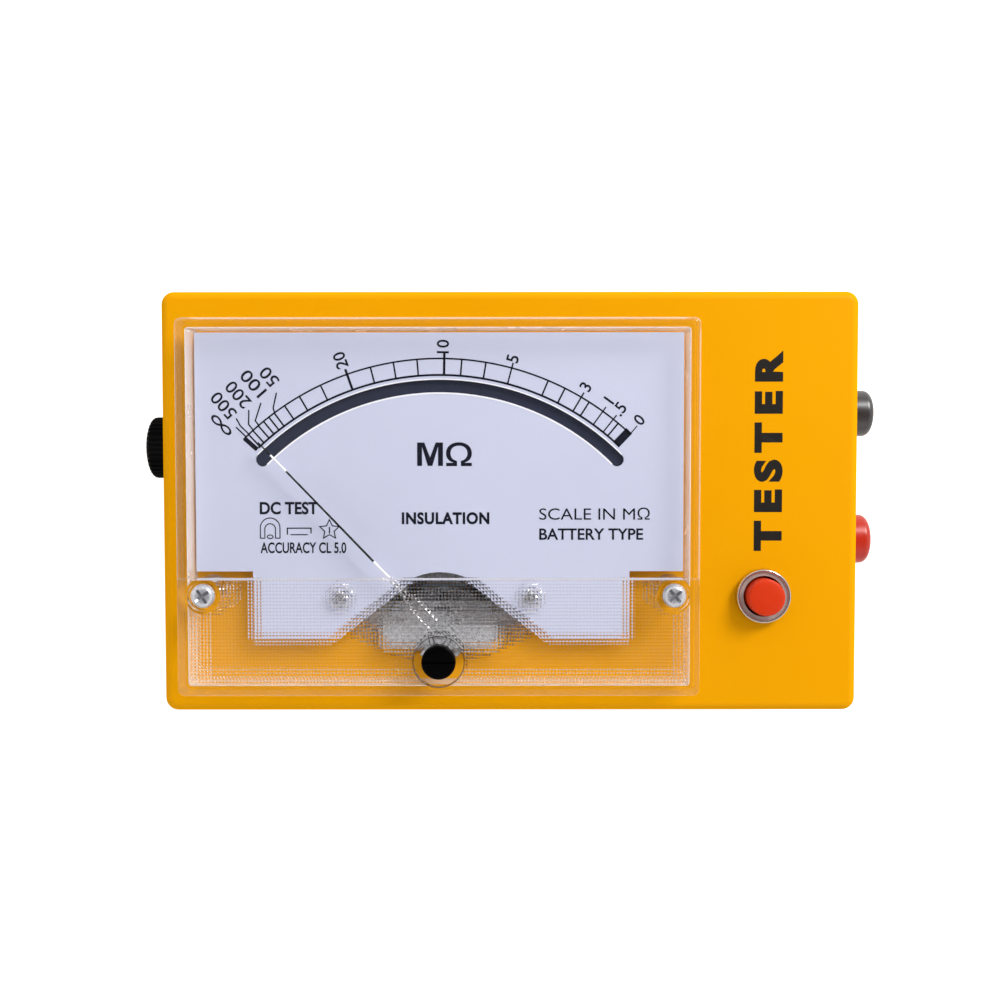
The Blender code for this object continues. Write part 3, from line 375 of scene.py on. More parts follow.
def turned(name, profile, surface=None, sides=64, hollow=False):
    """A solid of revolution about Z through (radius, z) points, in a closed loop if hollow."""
    mesh_data = bmesh.new()
    rings = []
    for radius, z in profile:
        ring = []
        for i in range(sides if radius > 0 else 1):
            angle = 2 * math.pi * i / sides
            x, y = radius * math.cos(angle), radius * math.sin(angle)
            ring.append(mesh_data.verts.new((x, y, z)))
        rings.append(ring)
    pairs = list(zip(rings, rings[1:]))
    if hollow:
        pairs.append((rings[-1], rings[0]))
    for first, second in pairs:
        for i in range(sides):
            j = (i + 1) % sides
            corners = [first[i % len(first)], first[j % len(first)]]
            corners += [second[j % len(second)], second[i % len(second)]]
            distinct = list(dict.fromkeys(corners))
            if len(distinct) > 2:
                mesh_data.faces.new(distinct)
    return add(name, mesh_data, surface)


def rod(name, radius, low, high, sides=48):
    return turned(name, [(0, high), (radius, high), (radius, low), (0, low)], sides=sides)


def fillet(centre_r, centre_z, radius, start, end, steps=5):
    """Profile points on a rounded edge, with angles in degrees from outwards."""
    points = []
    for i in range(steps + 1):
        angle = math.radians(start + (end - start) * i / steps)
        points.append((centre_r + radius * math.cos(angle), centre_z + radius * math.sin(angle)))
    return points


def rounded_outline(low, high, radius, steps=8):
    """A rectangle with rounded corners, anticlockwise."""
    points = []
    for x, y, start in ((1, 1, 0), (0, 1, 90), (0, 0, 180), (1, 0, 270)):
        centre_x = high[0] - radius if x else low[0] + radius
        centre_y = high[1] - radius if y else low[1] + radius
        for i in range(steps + 1):
            angle = math.radians(start + 90 * i / steps)
            out_x, out_y = radius * math.cos(angle), radius * math.sin(angle)
            points.append((centre_x + out_x, centre_y + out_y))
    return points


def rounded_block(name, low, high, corner, surface=None, top_edge=0.0, steps=6):
    """A block with rounded upright corners, whose top edge can be rounded too."""
    sections = [(rounded_outline(low, high, corner), low[2])]
    for i in range(steps + 1 if top_edge else 1):
        angle = math.radians(90 * i / steps)
        inset, drop = top_edge * (1 - math.cos(angle)), top_edge * (1 - math.sin(angle))
        inset_low = (low[0] + inset, low[1] + inset)
        inset_high = (high[0] - inset, high[1] - inset)
        outline = rounded_outline(inset_low, inset_high, corner - inset)
        sections.append((outline, high[2] - drop))
    return loft(name, sections, surface)


def moved(piece, x=0.0, y=0.0, z=0.0, turn=None):
    """Moves a piece's mesh, after turning it by a matrix if one is given."""
    matrix = Matrix.Translation(Vector((x, y, z)) * MM)
    piece.data.transform(matrix @ turn if turn else matrix)
    return piece


def carve(target, operation, *tools):
    """Applies Booleans with these tools, which are then removed."""
    for tool in tools:
        modifier = target.modifiers.new("carve", "BOOLEAN")
        modifier.operation = operation
        modifier.solver = "EXACT"
        modifier.object = tool
    graph = bpy.context.evaluated_depsgraph_get()
    mesh = bpy.data.meshes.new_from_object(target.evaluated_get(graph))
    target.modifiers.clear()
    target.data = mesh
    for tool in tools:
        bpy.data.objects.remove(tool)
    return target


def cut(target, *tools):
    return carve(target, "DIFFERENCE", *tools)


def unite(target, *tools):
    return carve(target, "UNION", *tools)


TO_LEFT = Matrix.Rotation(math.radians(-90), 4, "Y")
TO_RIGHT = Matrix.Rotation(math.radians(90), 4, "Y")


# Case

CASE_CORNER, CASE_EDGE, INSIDE_CORNER = 3.2, 2.2, 1.2
# Openings are cut from below the face to above it, and from inside a side wall to outside it.
CUT_LOW, CUT_HIGH, SIDE_CUT = FACE - 6, FACE + 3, 10
BUTTON_OPENING_R, SIDE_OPENING_R = 6.2, 4.3
METER_OPENING_Y, METER_OPENING_R = 1.6, 39.5
# The opening's lower part is wider: its outline from the opening's centre.
RELIEF = [(-25.0, -20.0), (-22.8, -33.2), (-12.0, -37.8), (12.0, -37.8), (22.8, -33.2)]
RELIEF.append((25.0, -20.0))


def make_case():
    shell = rounded_block(
        "case_shell", CASE_LOW, CASE_HIGH, CASE_CORNER, yellow, top_edge=CASE_EDGE
    )
    hollow_low = (CASE_LOW.x + WALL, CASE_LOW.y + WALL, CASE_LOW.z - 5)
    hollow_high = (CASE_HIGH.x - WALL, CASE_HIGH.y - WALL, FACE - PANEL)
    tools = [rounded_block("hollow", hollow_low, hollow_high, INSIDE_CORNER)]
    meter = rod("meter_opening", METER_OPENING_R, CUT_LOW, CUT_HIGH, sides=128)
    tools.append(moved(meter, PIVOT.x, METER_OPENING_Y))
    relief = loft("relief", [(RELIEF, CUT_LOW - 0.1), (RELIEF, CUT_HIGH + 0.1)])
    tools.append(moved(relief, PIVOT.x, METER_OPENING_Y))
    button = rod("button_opening", BUTTON_OPENING_R, CUT_LOW, CUT_HIGH)
    tools.append(moved(button, BUTTON.x, BUTTON.y))
    for node, wall_x, turn in (
        ("knob_shaft", CASE_LOW.x, TO_LEFT),
        ("black_socket_head", CASE_HIGH.x, TO_RIGHT),
        ("red_socket_head", CASE_HIGH.x, TO_RIGHT),
    ):
        centre = node_centre(node)
        opening = rod("side_opening", SIDE_OPENING_R, -SIDE_CUT, SIDE_CUT)
        tools.append(moved(opening, wall_x, centre.y, centre.z, turn))
    place(smooth(cut(shell, *tools)), "case", "yellow_abs", "front_case")


# Meter cover

COVER_CORNER, COVER_EDGE, COVER_WALL, CEILING = 1.6, 1.2, 2.2, 2.0
BAND_EDGE_Y, BAND_DROP = -17.5, 0.6
PYRAMID_PITCH, PYRAMID_DEPTH, PYRAMID_MARGIN = 0.81, 0.17, 0.8
SCREW_POST_R, SCREW_RECESS_R, SCREW_HOLE_R, SCREW_SEAT = 4.3, 3.5, 1.75, 59.6
ADJUSTER_POST_R, ADJUSTER_POST_END = 6.35, 57.0
ADJUSTER_RECESS_R, ADJUSTER_SEAT, ADJUSTER_HOLE_R, CHAMFER = 6.0, 60.1, 2.5, 0.3
# Faces whose corners all lie this near a post's axis belong to that post.
POST_REACH = 7.2


def pyramid_tool(low_x, high_x, low_y, high_y, base, top):
    """A block whose top face is a field of pyramids that point down into it."""
    columns = round((high_x - low_x) / PYRAMID_PITCH)
    rows = round((high_y - low_y) / PYRAMID_PITCH)
    step_x, step_y = (high_x - low_x) / columns, (high_y - low_y) / rows
    mesh_data = bmesh.new()
    grid = []
    for j in range(rows + 1):
        y = low_y + step_y * j
        grid.append([mesh_data.verts.new((low_x + step_x * i, y, top)) for i in range(columns + 1)])
    for j in range(rows):
        for i in range(columns):
            middle = (low_x + step_x * (i + 0.5), low_y + step_y * (j + 0.5), top - PYRAMID_DEPTH)
            apex = mesh_data.verts.new(middle)
            around = (grid[j][i], grid[j][i + 1], grid[j + 1][i + 1], grid[j + 1][i])
            for k in range(4):
                mesh_data.faces.new((around[k], around[(k + 1) % 4], apex))
    rim = grid[0][:-1] + [row[-1] for row in grid[:-1]]
    rim += list(reversed(grid[-1][1:])) + [row[0] for row in reversed(grid[1:])]
    floor = [mesh_data.verts.new((corner.co.x, corner.co.y, base)) for corner in rim]
    for i, corner in enumerate(rim):
        j = (i + 1) % len(rim)
        mesh_data.faces.new((corner, rim[j], floor[j], floor[i]))
    mesh_data.faces.new(floor)
    return add("pyramid_tool", mesh_data, None)


def cover_blank(ceiling):
    """The cover's shell, with a flat window above and the pyramids under the lower band."""
    low, high = COVER_LOW, COVER_HIGH
    cover = rounded_block(
        "cover_window", low, high, COVER_CORNER, clear, top_edge=COVER_EDGE, steps=9
    )
    inner_low = (low.x + COVER_WALL, low.y + COVER_WALL)
    inner_high = (high.x - COVER_WALL, high.y - COVER_WALL)
    hollow_low, hollow_high = (*inner_low, low.z - 3), (*inner_high, ceiling - 0.4)
    hollow = rounded_block("hollow", hollow_low, hollow_high, 0.9, top_edge=0.3, steps=3)
    window_low = (inner_low[0] + 0.3, BAND_EDGE_Y, ceiling - 4)
    window_high = (inner_high[0] - 0.3, inner_high[1] - 0.3, ceiling)
    window = rounded_block("window", window_low, window_high, 0.6)
    across = (inner_low[0] + PYRAMID_MARGIN, inner_high[0] - PYRAMID_MARGIN)
    along = (inner_low[1] + PYRAMID_MARGIN, BAND_EDGE_Y + 0.1)
    pyramids = pyramid_tool(*across, *along, ceiling - 4, ceiling)
    sections = []
    left, right = low.x - 1, high.x + 1
    for y, z in (
        (BAND_EDGE_Y - BAND_DROP, high.z - BAND_DROP),
        (BAND_EDGE_Y + 1, high.z + 1),
    ):
        sections.append(([(left, low.y - 1), (right, low.y - 1), (right, y), (left, y)], z))
    return cut(cover, hollow, window, pyramids, loft("band", sections))


def add_posts(cover, ceiling):
    """The tubes that hold the adjuster and the two screws."""
    low, high = COVER_LOW, COVER_HIGH
    post = rod("post", ADJUSTER_POST_R, ADJUSTER_POST_END, ceiling + 0.5, sides=64)
    posts = [moved(post, PIVOT.x, ADJUSTER.y)]
    hole = rod("hole", ADJUSTER_HOLE_R, 50, high.z, sides=40)
    holes = [moved(hole, PIVOT.x, ADJUSTER.y)]
    rim = high.z - BAND_DROP
    recess = [
        (0, high.z),
        (ADJUSTER_RECESS_R + 2 * CHAMFER, high.z),
        (ADJUSTER_RECESS_R + CHAMFER, rim),
        (ADJUSTER_RECESS_R, rim - CHAMFER),
        (ADJUSTER_RECESS_R, ADJUSTER_SEAT),
        (0, ADJUSTER_SEAT),
    ]
    holes.append(moved(turned("hole", recess), PIVOT.x, ADJUSTER.y))
    for name in ("cover_screw_left", "cover_screw_right"):
        centre = node_centre(name)
        post = rod("post", SCREW_POST_R, low.z, ceiling + 0.5)
        posts.append(moved(post, centre.x, centre.y))
        hole = rod("hole", SCREW_HOLE_R, low.z - 1, high.z, sides=32)
        holes.append(moved(hole, centre.x, centre.y))
        recess = rod("hole", SCREW_RECESS_R, SCREW_SEAT, high.z + 1)
        holes.append(moved(recess, centre.x, centre.y))
    unite(cover, *posts)
    return cut(cover, *holes)


def dress_cover(cover):
    """The walls take a whitened clear plastic, a painted highlight for the bright lines seen in
    them; the facets that lean towards the top of the dial and the adjuster's post take darkened
    ones, painted shade.
    """
    on_inner_wall, on_shaded_facet, on_adjuster_post, on_outer_wall = range(1, 5)
    for surface in (wall_highlight_acrylic, facet_shade_acrylic, post_shade_acrylic, outer_wall_highlight_acrylic):
        cover.data.materials.append(surface.material)
    middle = (COVER_LOW + COVER_HIGH) / 2
    post_names = ("zero_adjuster", "cover_screw_left", "cover_screw_right")
    posts = [node_centre(name).xy for name in post_names]
    for face in cover.data.polygons:
        corners = [cover.data.vertices[i].co.xy / MM for i in face.vertices]
        near = [all((corner - post).length < POST_REACH for corner in corners) for post in posts]
        faces_in = (face.center / MM - middle).dot(face.normal) < 0
        # The post's walls take the near-black copy: painted shade.
        if abs(face.normal.z) < 0.9 and near[0]:
            face.material_index = on_adjuster_post
        elif abs(face.normal.z) < 0.9 and not any(near):
            face.material_index = on_inner_wall if faces_in else on_outer_wall
        elif -0.9995 < face.normal.z < 0:
            face.use_smooth = False
            # Facets that lean towards the top of the dial take the darker copy: painted shade.
            if face.normal.y > 0.05:
                face.material_index = on_shaded_facet


def make_cover():
    ceiling = COVER_HIGH.z - CEILING
    cover = add_posts(cover_blank(ceiling), ceiling)
    place(smooth(cover, 28), "case", "clear_acrylic", "meter_cover")
    dress_cover(cover)


# Printing

INK_LIFT, HIGHLIGHT_LIFT = 0.03, 0.02
SHARPEST_MITRE = 0.4


class Print:
    """Flat ink on a face at height z."""

    def __init__(self, z):
        self.z = z
        self.mesh_data = bmesh.new()

    def shape(self, points):
        corners = [self.mesh_data.verts.new((x, y, self.z)) for x, y in points]
        self.mesh_data.faces.new(corners)

    def stroke(self, points, width, closed=False):
        """A line of even width through these points."""
        path = [Vector(point) for point in points]
        left, right = [], []
        for i, here in enumerate(path):
            before = path[i - 1] if i or closed else here
            after = path[(i + 1) % len(path)] if i + 1 < len(path) or closed else here
            along = (here - before).normalized() + (after - here).normalized()
            along.normalize()
            across = Vector((-along.y, along.x))
            edge = (after - here if after != here else here - before).normalized()
            lean = max(SHARPEST_MITRE, abs(edge.dot(along)))
            offset = across * width / 2 / lean
            left.append(self.mesh_data.verts.new((*(here + offset), self.z)))
            right.append(self.mesh_data.verts.new((*(here - offset), self.z)))
        count = len(path) if closed else len(path) - 1
        for i in range(count):
            j = (i + 1) % len(path)
            self.mesh_data.faces.new((right[i], right[j], left[j], left[i]))

    def words(self, text, height, x, y, width=None, turn=0.0, bold=0.0, spacing=1.0):
        """Lettering of this height, centred on a point and turned in degrees."""
        curve = bpy.data.curves.new("words", "FONT")
        curve.body = text
        curve.offset = bold
        curve.space_character = spacing
        curve.resolution_u = 5
        written = bpy.data.objects.new("words", curve)
        bpy.context.scene.collection.objects.link(written)
        graph = bpy.context.evaluated_depsgraph_get()
        mesh = bpy.data.meshes.new_from_object(written.evaluated_get(graph))
        across = [vertex.co.x for vertex in mesh.vertices]
        up = [vertex.co.y for vertex in mesh.vertices]
        low_x, high_x, low_y, high_y = min(across), max(across), min(up), max(up)
        grow_y = height / (high_y - low_y)
        grow_x = width / (high_x - low_x) if width else grow_y
        centred = Matrix.Translation((-(low_x + high_x) / 2, -(low_y + high_y) / 2, 0))
        sized = Matrix.Diagonal((grow_x, grow_y, 1, 1))
        turned_by = Matrix.Rotation(math.radians(turn), 4, "Z")
        mesh.transform(Matrix.Translation((x, y, self.z)) @ turned_by @ sized @ centred)
        self.mesh_data.from_mesh(mesh)
        bpy.data.objects.remove(written)

    def finish(self, name, surface, slot):
        for face in self.mesh_data.faces:
            if face.normal.z < 0:
                face.normal_flip()
        bmesh.ops.scale(self.mesh_data, verts=self.mesh_data.verts, vec=(MM, MM, MM))
        mesh = bpy.data.meshes.new(name)
        self.mesh_data.to_mesh(mesh)
        self.mesh_data.free()
        mesh.materials.append(surface.material)
        piece = bpy.data.objects.new(name, mesh)
        bpy.context.scene.collection.objects.link(piece)
        return place(piece, "case", slot)


def polar(radius, angle):
    """A point on the dial, with its angle in degrees anticlockwise of straight up."""
    turn = math.radians(angle)
    return PIVOT.x - radius * math.sin(turn), PIVOT.y + radius * math.cos(turn)


def swept(radius, start, end, steps=72):
    return [polar(radius, start + (end - start) * i / steps) for i in range(steps + 1)]


SCALE_IN, SCALE_OUT = 64.0, 68.0
SLOT_R, SLOT_WIDTH, SLOT_HALF_ANGLE = 61.3, 3.4, 44.9
OUTER_ARC_WIDTH, INNER_ARC_WIDTH, TICK_WIDTH, LEAD_WIDTH = 0.4, 0.5, 0.4, 0.34
LABEL_HEIGHT, CROWDED_HEIGHT, DIGIT_WIDTH = 3.0, 3.1, 2.35
# Angles of the ticks without a figure, in degrees from straight up. The crowded figures lead to
# the last four.
PLAIN_TICKS = (39.1, 37.7, 33.7, 30.1, 25.2, 14.3, 9.5, 4.6, -4.6, -9.6, -22.9, -26.7)
PLAIN_TICKS += (-32.4, -39.8, 43.2, 42.0, 40.5, 36.3)
LABELLED_TICKS = (
    # text, angle, width of the tick, radius of the label
    ("20", 19.3, 0.6, 71.7),
    ("10", -1.0, 0.6, 70.9),
    ("5", -15.0, 0.38, 70.2),
    ("3", -30.5, 0.38, 70.7),
    ("1", -35.8, 0.34, 71.0),
    (".5", -38.5, 0.34, 70.9),
)
CROWDED_LABELS = (
    # text, radius and angle of the label, then the bent line that leads to its tick
    ("500", 77.3, 42.9, ((68.0, 43.1), (70.9, 43.2), (72.9, 42.8))),
    ("200", 76.9, 39.6, ((68.0, 41.9), (69.8, 41.8), (72.4, 39.9))),
    ("100", 76.8, 36.2, ((68.0, 40.4), (69.4, 40.3), (71.9, 37.2))),
    ("50", 75.9, 33.1, ((68.0, 36.2), (69.1, 35.9), (71.7, 33.6))),
)


def make_scale(dial):
    """The two arcs, the ticks with their figures, and the bars and figures of both ends."""
    dial.stroke(swept(SCALE_OUT, 44.6, -43.2), OUTER_ARC_WIDTH)
    dial.stroke(swept(SCALE_IN, 43.6, -43.0), INNER_ARC_WIDTH)
    for angle in PLAIN_TICKS:
        dial.stroke([polar(SCALE_IN, angle), polar(SCALE_OUT, angle)], TICK_WIDTH)
    for text, angle, width, label_r in LABELLED_TICKS:
        dial.stroke([polar(SCALE_IN, angle), polar(SCALE_OUT + 1.3, angle)], width)
        middle = polar(label_r, angle + 0.3)
        dial.words(text, LABEL_HEIGHT, *middle, turn=90 + angle, bold=0.012)
    for text, label_r, label_angle, lead in CROWDED_LABELS:
        dial.stroke([polar(*point) for point in lead], LEAD_WIDTH)
        length = DIGIT_WIDTH * len(text)
        middle = polar(label_r, label_angle)
        dial.words(text, CROWDED_HEIGHT, *middle, width=length, turn=131, bold=0.008)
    dial.stroke([polar(SCALE_OUT, 43.9), polar(71.4, 44.0)], LEAD_WIDTH)
    dial.stroke([polar(63.9, 44.1), polar(68.1, 44.35)], 1.1)
    dial.words("∞", 1.9, *polar(74.3, 45.7), width=6.4, turn=135)
    dial.stroke([polar(63.7, -42.4), polar(68.4, -42.5)], 2.0)
    dial.stroke([polar(68.2, -43.1), polar(70.6, -43.0)], 0.27)
    dial.words("0", 2.9, *polar(72.0, -42.5), turn=48, bold=0.012)


ARCH = [math.pi * i / 14 for i in range(15)]
RING = [2 * math.pi * i / 14 for i in range(14)]
SYMBOL_LINE = 0.26


def make_magnet(dial, x, y):
    """The sign for a moving-coil instrument: a horseshoe magnet with a coil in its gap."""
    middle, foot_y = x + 2.4, y - 2.6
    for half, lift in ((2.4, 0.6), (1.3, 0.3)):
        arch = [
            (middle - half * math.cos(a), y + half * math.sin(a) + lift - 0.6) for a in ARCH
        ]
        dial.stroke([(middle - half, foot_y), *arch, (middle + half, foot_y)], SYMBOL_LINE)
    for foot in (0.0, 3.7):
        dial.stroke([(x + foot, y - 2.55), (x + foot + 1.1, y - 2.55)], SYMBOL_LINE)
    ring = [(middle + 0.7 * math.cos(a), y - 2.2 + 0.45 * math.sin(a)) for a in RING]
    dial.stroke(ring, 0.24, closed=True)


def make_flat_sign(dial, x, y):
    """The sign for use lying flat."""
    corners = [(x + 6.6, y - 1.7), (x + 6.6, y - 0.1), (x + 12.4, y - 0.1), (x + 12.4, y - 1.4)]
    dial.stroke(corners, 0.3)
    dial.stroke([(x + 7.4, y - 1.7), (x + 11.6, y - 1.7)], SYMBOL_LINE)


def make_star(dial, x, y):
    """The sign for the insulation test."""
    points = []
    for i in range(10):
        radius = 2.5 if i % 2 == 0 else 1.2
        angle = math.radians(90 + 36 * i)
        points.append((x + 16.9 + radius * math.cos(angle), y - 0.5 + radius * math.sin(angle)))
    dial.stroke(points, SYMBOL_LINE, closed=True)
    dial.words("1", 1.6, x + 16.9, y - 0.6, bold=0.02)


SIGNS_X, SIGNS_Y = -61.1, -6.0
MEGOHM_LEFT, MEGOHM_LOW, MEGOHM_HIGH, MEGOHM_WIDTH = -22.7, 9.1, 14.8, 6.3
# The outline of a letter M, as shares of its width and height.
LETTER_M = [(0, 0), (0, 1), (0.28, 1), (0.5, 0.36), (0.72, 1), (1, 1), (1, 0), (0.81, 0)]
LETTER_M += [(0.81, 0.82), (0.59, 0), (0.41, 0), (0.19, 0.82), (0.19, 0)]


def make_printing():
    dial = Print(DIAL_TOP + INK_LIFT)
    make_scale(dial)
    tall = MEGOHM_HIGH - MEGOHM_LOW
    dial.shape([(MEGOHM_LEFT + MEGOHM_WIDTH * x, MEGOHM_LOW + tall * y) for x, y in LETTER_M])
    middle = (MEGOHM_LOW + MEGOHM_HIGH) / 2
    dial.words("Ω", tall + 0.1, -12.5, middle, width=MEGOHM_WIDTH, bold=0.012)
    dial.words("INSULATION", 3.0, -15.8, -3.7, width=21.4, bold=0.04, spacing=1.1)
    dial.words("DC TEST", 3.1, -54.1, -1.2, width=14.2, bold=0.03)
    for make_sign in (make_magnet, make_flat_sign, make_star):
        make_sign(dial, SIGNS_X, SIGNS_Y)
    dial.words("ACCURACY CL 5.0", 2.7, -50.6, -10.9, width=21.0, bold=0.02)
    dial.words("SCALE IN MΩ", 3.0, 20.6, -2.6, width=27.0)
    dial.words("BATTERY TYPE", 2.8, 19.8, -7.6, width=25.4, bold=0.018)
    dial.finish("dial_print", ink, "black_plastic")
    # Painted highlight: thin glowing white lines along both edges of the mirror slot, where the
    # edges catch the light.
    rim = Print(DIAL_TOP + HIGHLIGHT_LIFT)
    for radius, width in ((SLOT_R - SLOT_WIDTH / 2, 0.4), (SLOT_R + SLOT_WIDTH / 2, 0.3)):
        rim.stroke(swept(radius, SLOT_HALF_ANGLE, -SLOT_HALF_ANGLE), width)
    rim.finish("slot_edge_highlight", painted_glint, "dial_white")
    panel = Print(FACE + INK_LIFT)
    panel.words("TESTER", 7.1, 64.0, 12.7, width=49.6, turn=90, bold=0.06, spacing=1.45)
    panel.finish("panel_print", legend, "black_plastic")


# Screws, pointer and other turned pieces

HEAD_RISE, CROSS_REACH, CROSS_DEPTH = 0.62, 0.74, 0.85
THREAD_START, THREAD_PITCH, THREAD_DEPTH = -0.8, 0.55, 0.24
# The domed head of a screw, as shares of its radius and of its rise, from the middle outwards.
PAN_HEAD = [(0, 1.0), (0.35, 0.985), (0.6, 0.92), (0.8, 0.76), (0.92, 0.54), (0.985, 0.3)]
PAN_HEAD += [(1.0, 0.12), (0.97, 0.0)]


def cross_tool(radius, depth, top):
    """Two crossed wedges that cut a cross recess."""
    wedges = []
    for turn in (0, 90):
        wide, narrow = radius, radius * 0.7
        half, thin = radius * 0.19, radius * 0.12
        low = [(-narrow, -thin), (narrow, -thin), (narrow, thin), (-narrow, thin)]
        high = [(-wide, -half), (wide, -half), (wide, half), (-wide, half)]
        wedge = loft("wedge", [(low, top - depth), (high, top + 0.3)])
        wedges.append(moved(wedge, turn=Matrix.Rotation(math.radians(turn), 4, "Z")))
    return wedges


def make_screw(node, head_r, shank_r, turn, upside_down=False):
    """A cross-head pan screw with a rounded rim, in place of its plainer CAD node."""
    low, high = node_box(node)
    centre = (low + high) / 2
    rise = HEAD_RISE * head_r
    length = high.z - low.z - rise
    profile = [(out * head_r, up * rise) for out, up in PAN_HEAD] + [(shank_r, 0.0)]
    for i in range(int((length - 1.5) / THREAD_PITCH)):
        z = THREAD_START - THREAD_PITCH * i
        profile += [(shank_r, z), (shank_r - THREAD_DEPTH, z - 0.27)]
    profile += [(shank_r * 0.7, -length + 0.3), (0, -length)]
    screw = turned(node + "_detail", profile, zinc, sides=40)
    cut(screw, *cross_tool(CROSS_REACH * head_r, CROSS_DEPTH * rise, rise))
    matrix = Matrix.Rotation(math.radians(turn), 4, "Z")
    seat = high.z - rise
    if upside_down:
        matrix = Matrix.Rotation(math.pi, 4, "X") @ matrix
        seat = low.z + rise
    moved(screw, centre.x, centre.y, seat, matrix)
    place(smooth(screw, 35), "case", "zinc_steel", node)


def make_screws():
    make_screw("cover_screw_left", 2.95, 1.45, 35)
    make_screw("cover_screw_right", 2.95, 1.45, 40)
    make_screw("dial_screw_left", 2.7, 1.15, 15)
    make_screw("dial_screw_right", 2.7, 1.15, 60)
    for number in range(1, 5):
        make_screw(f"rear_screw_{number}", 2.5, 1.45, 20 * number, upside_down=True)


CAP_GAP, CAP_SKIN, CAP_SKIRT, STEM_R = 0.25, 0.7, 43.5, 2.0
BARREL_R, BARREL_BORE_R, BARREL_END, BARREL_HOLE_R, BARREL_FLOOR = 5.9, 5.0, 36.0, 2.4, 37.5
BEZEL_RIM = 0.4


def make_button_cap():
    """The red cap, which is hollow round its stem."""
    low, high = node_box("button_cap")
    radius, top = (high.x - low.x) / 2 - CAP_GAP, high.z
    ceiling = top - 2.0
    profile = [(0, top), (0.45 * radius, top - 0.05), (0.75 * radius, top - 0.16)]
    profile += fillet(radius - 0.5, top - 0.75, 0.5, 75, 0)
    profile += [(radius, CAP_SKIRT), (radius - CAP_SKIN, CAP_SKIRT), (radius - CAP_SKIN, ceiling)]
    profile += [(STEM_R, ceiling), (STEM_R, low.z), (0, low.z)]
    cap = moved(turned("button_cap_detail", profile, orange, sides=96), BUTTON.x, BUTTON.y)
    place(smooth(cap, 40), "button", "red_plastic", "button_cap")


def make_button_bezel():
    """The chromed barrel: a bright rim round a satin dish."""
    low, high = node_box("button_bezel")
    outer, top = (high.x - low.x) / 2, high.z
    flange = FACE + 0.3
    profile = [(BARREL_BORE_R, top - 0.6), (BARREL_BORE_R + 0.1, top - 0.5)]
    profile += [(outer - 2 * BEZEL_RIM, top - 0.5), (outer - 0.65, top - 0.3)]
    profile += fillet(outer - BEZEL_RIM, top - BEZEL_RIM, BEZEL_RIM, 120, 0, steps=7)
    profile += [(outer, flange), (BARREL_R, flange), (BARREL_R, BARREL_END)]
    profile += [(BARREL_HOLE_R, BARREL_END), (BARREL_HOLE_R, BARREL_FLOOR)]
    profile.append((BARREL_BORE_R, BARREL_FLOOR))
    bezel = turned("button_bezel_detail", profile, chrome, sides=96, hollow=True)
    moved(bezel, BUTTON.x, BUTTON.y)
    place(smooth(bezel, 30), "case", "chrome", "button_bezel")
    bezel.data.materials.append(satin.material)
    for face in bezel.data.polygons:
        middle = face.center / MM
        if math.hypot(middle.x - BUTTON.x, middle.y - BUTTON.y) < outer - 0.7:
            face.material_index = 1


ADJUSTER_NECK_R, ADJUSTER_DISC_R, ADJUSTER_PIN_R, ADJUSTER_PIN_OFFSET = 0.9, 2.6, 0.6, -1.0
# Heights of the underside of the adjuster's head and of its disc's two faces.
ADJUSTER_UNDER, DISC_TOP, DISC_BOTTOM = 60.4, 56.7, 55.7
ADJUSTER_ROUNDING, DRIVER_SLOT_HALF, DRIVER_SLOT_DEPTH = 0.45, 0.3, 0.6


def make_adjuster():
    """The slotted screw and the disc under it, whose pin is off centre."""
    low, high = node_box("zero_adjuster")
    radius, top = (high.x - low.x) / 2, high.z
    profile = [(0, top)]
    edge = ADJUSTER_ROUNDING
    profile += fillet(radius - edge, top - edge, edge, 90, 0)
    profile += [(radius, ADJUSTER_UNDER), (ADJUSTER_NECK_R, ADJUSTER_UNDER)]
    profile += [(ADJUSTER_NECK_R, DISC_TOP), (ADJUSTER_DISC_R, DISC_TOP)]
    profile += [(ADJUSTER_DISC_R, DISC_BOTTOM), (0, DISC_BOTTOM)]
    adjuster = turned("zero_adjuster_detail", profile, jet, sides=80)
    pin = rod("pin", ADJUSTER_PIN_R, low.z, DISC_BOTTOM + 0.3, sides=20)
    unite(adjuster, moved(pin, 0, ADJUSTER_PIN_OFFSET))
    slot_low = (-5, -DRIVER_SLOT_HALF, top - DRIVER_SLOT_DEPTH)
    slot = block("slot", slot_low, (5, DRIVER_SLOT_HALF, top + 1))
    moved(cut(adjuster, slot), PIVOT.x, ADJUSTER.y)
    place(smooth(adjuster, 35), "zero_adjuster", "black_plastic", "zero_adjuster")


# Distances from the pivot at which the pointer changes.
POINTER_START_R, POINTER_RISE_R, POINTER_BEND_R = 1.6, 8.6, 15.4
POINTER_BARE_R, POINTER_ROOT_R, POINTER_HIGHLIGHT_R, POINTER_TIP_R = 18.5, 24.6, 54.8, 60.2
# How far the blade leans to one side of the line through its tip, per millimetre.
POINTER_LEAN = 0.026
ARM_BASE = 50.4
TAIL_PARTS = (
    # name, lowest and highest corner
    ("tail", (-0.6, -6.6, 50.5), (0.6, -1.8, 51.3)),
    ("weight", (-1.7, -6.4, ARM_BASE), (1.7, -4.2, 51.7)),
    ("arm", (1.8, -0.5, 50.6), (5.2, 0.5, 51.2)),
    ("arm", (-5.2, -0.5, 50.6), (-1.8, 0.5, 51.2)),
)
# The bare root and the band before the slot take the glowing white, a painted highlight; at the
# root this is partly the bare metal's own colour.
POINTER_SURFACES = {
    "pointer_root": nickel,
    "pointer_bare_glint": painted_glint,
    "pointer_blade": jet,
    "pointer_highlight_band": painted_glint,
    "pointer_tip": jet,
}


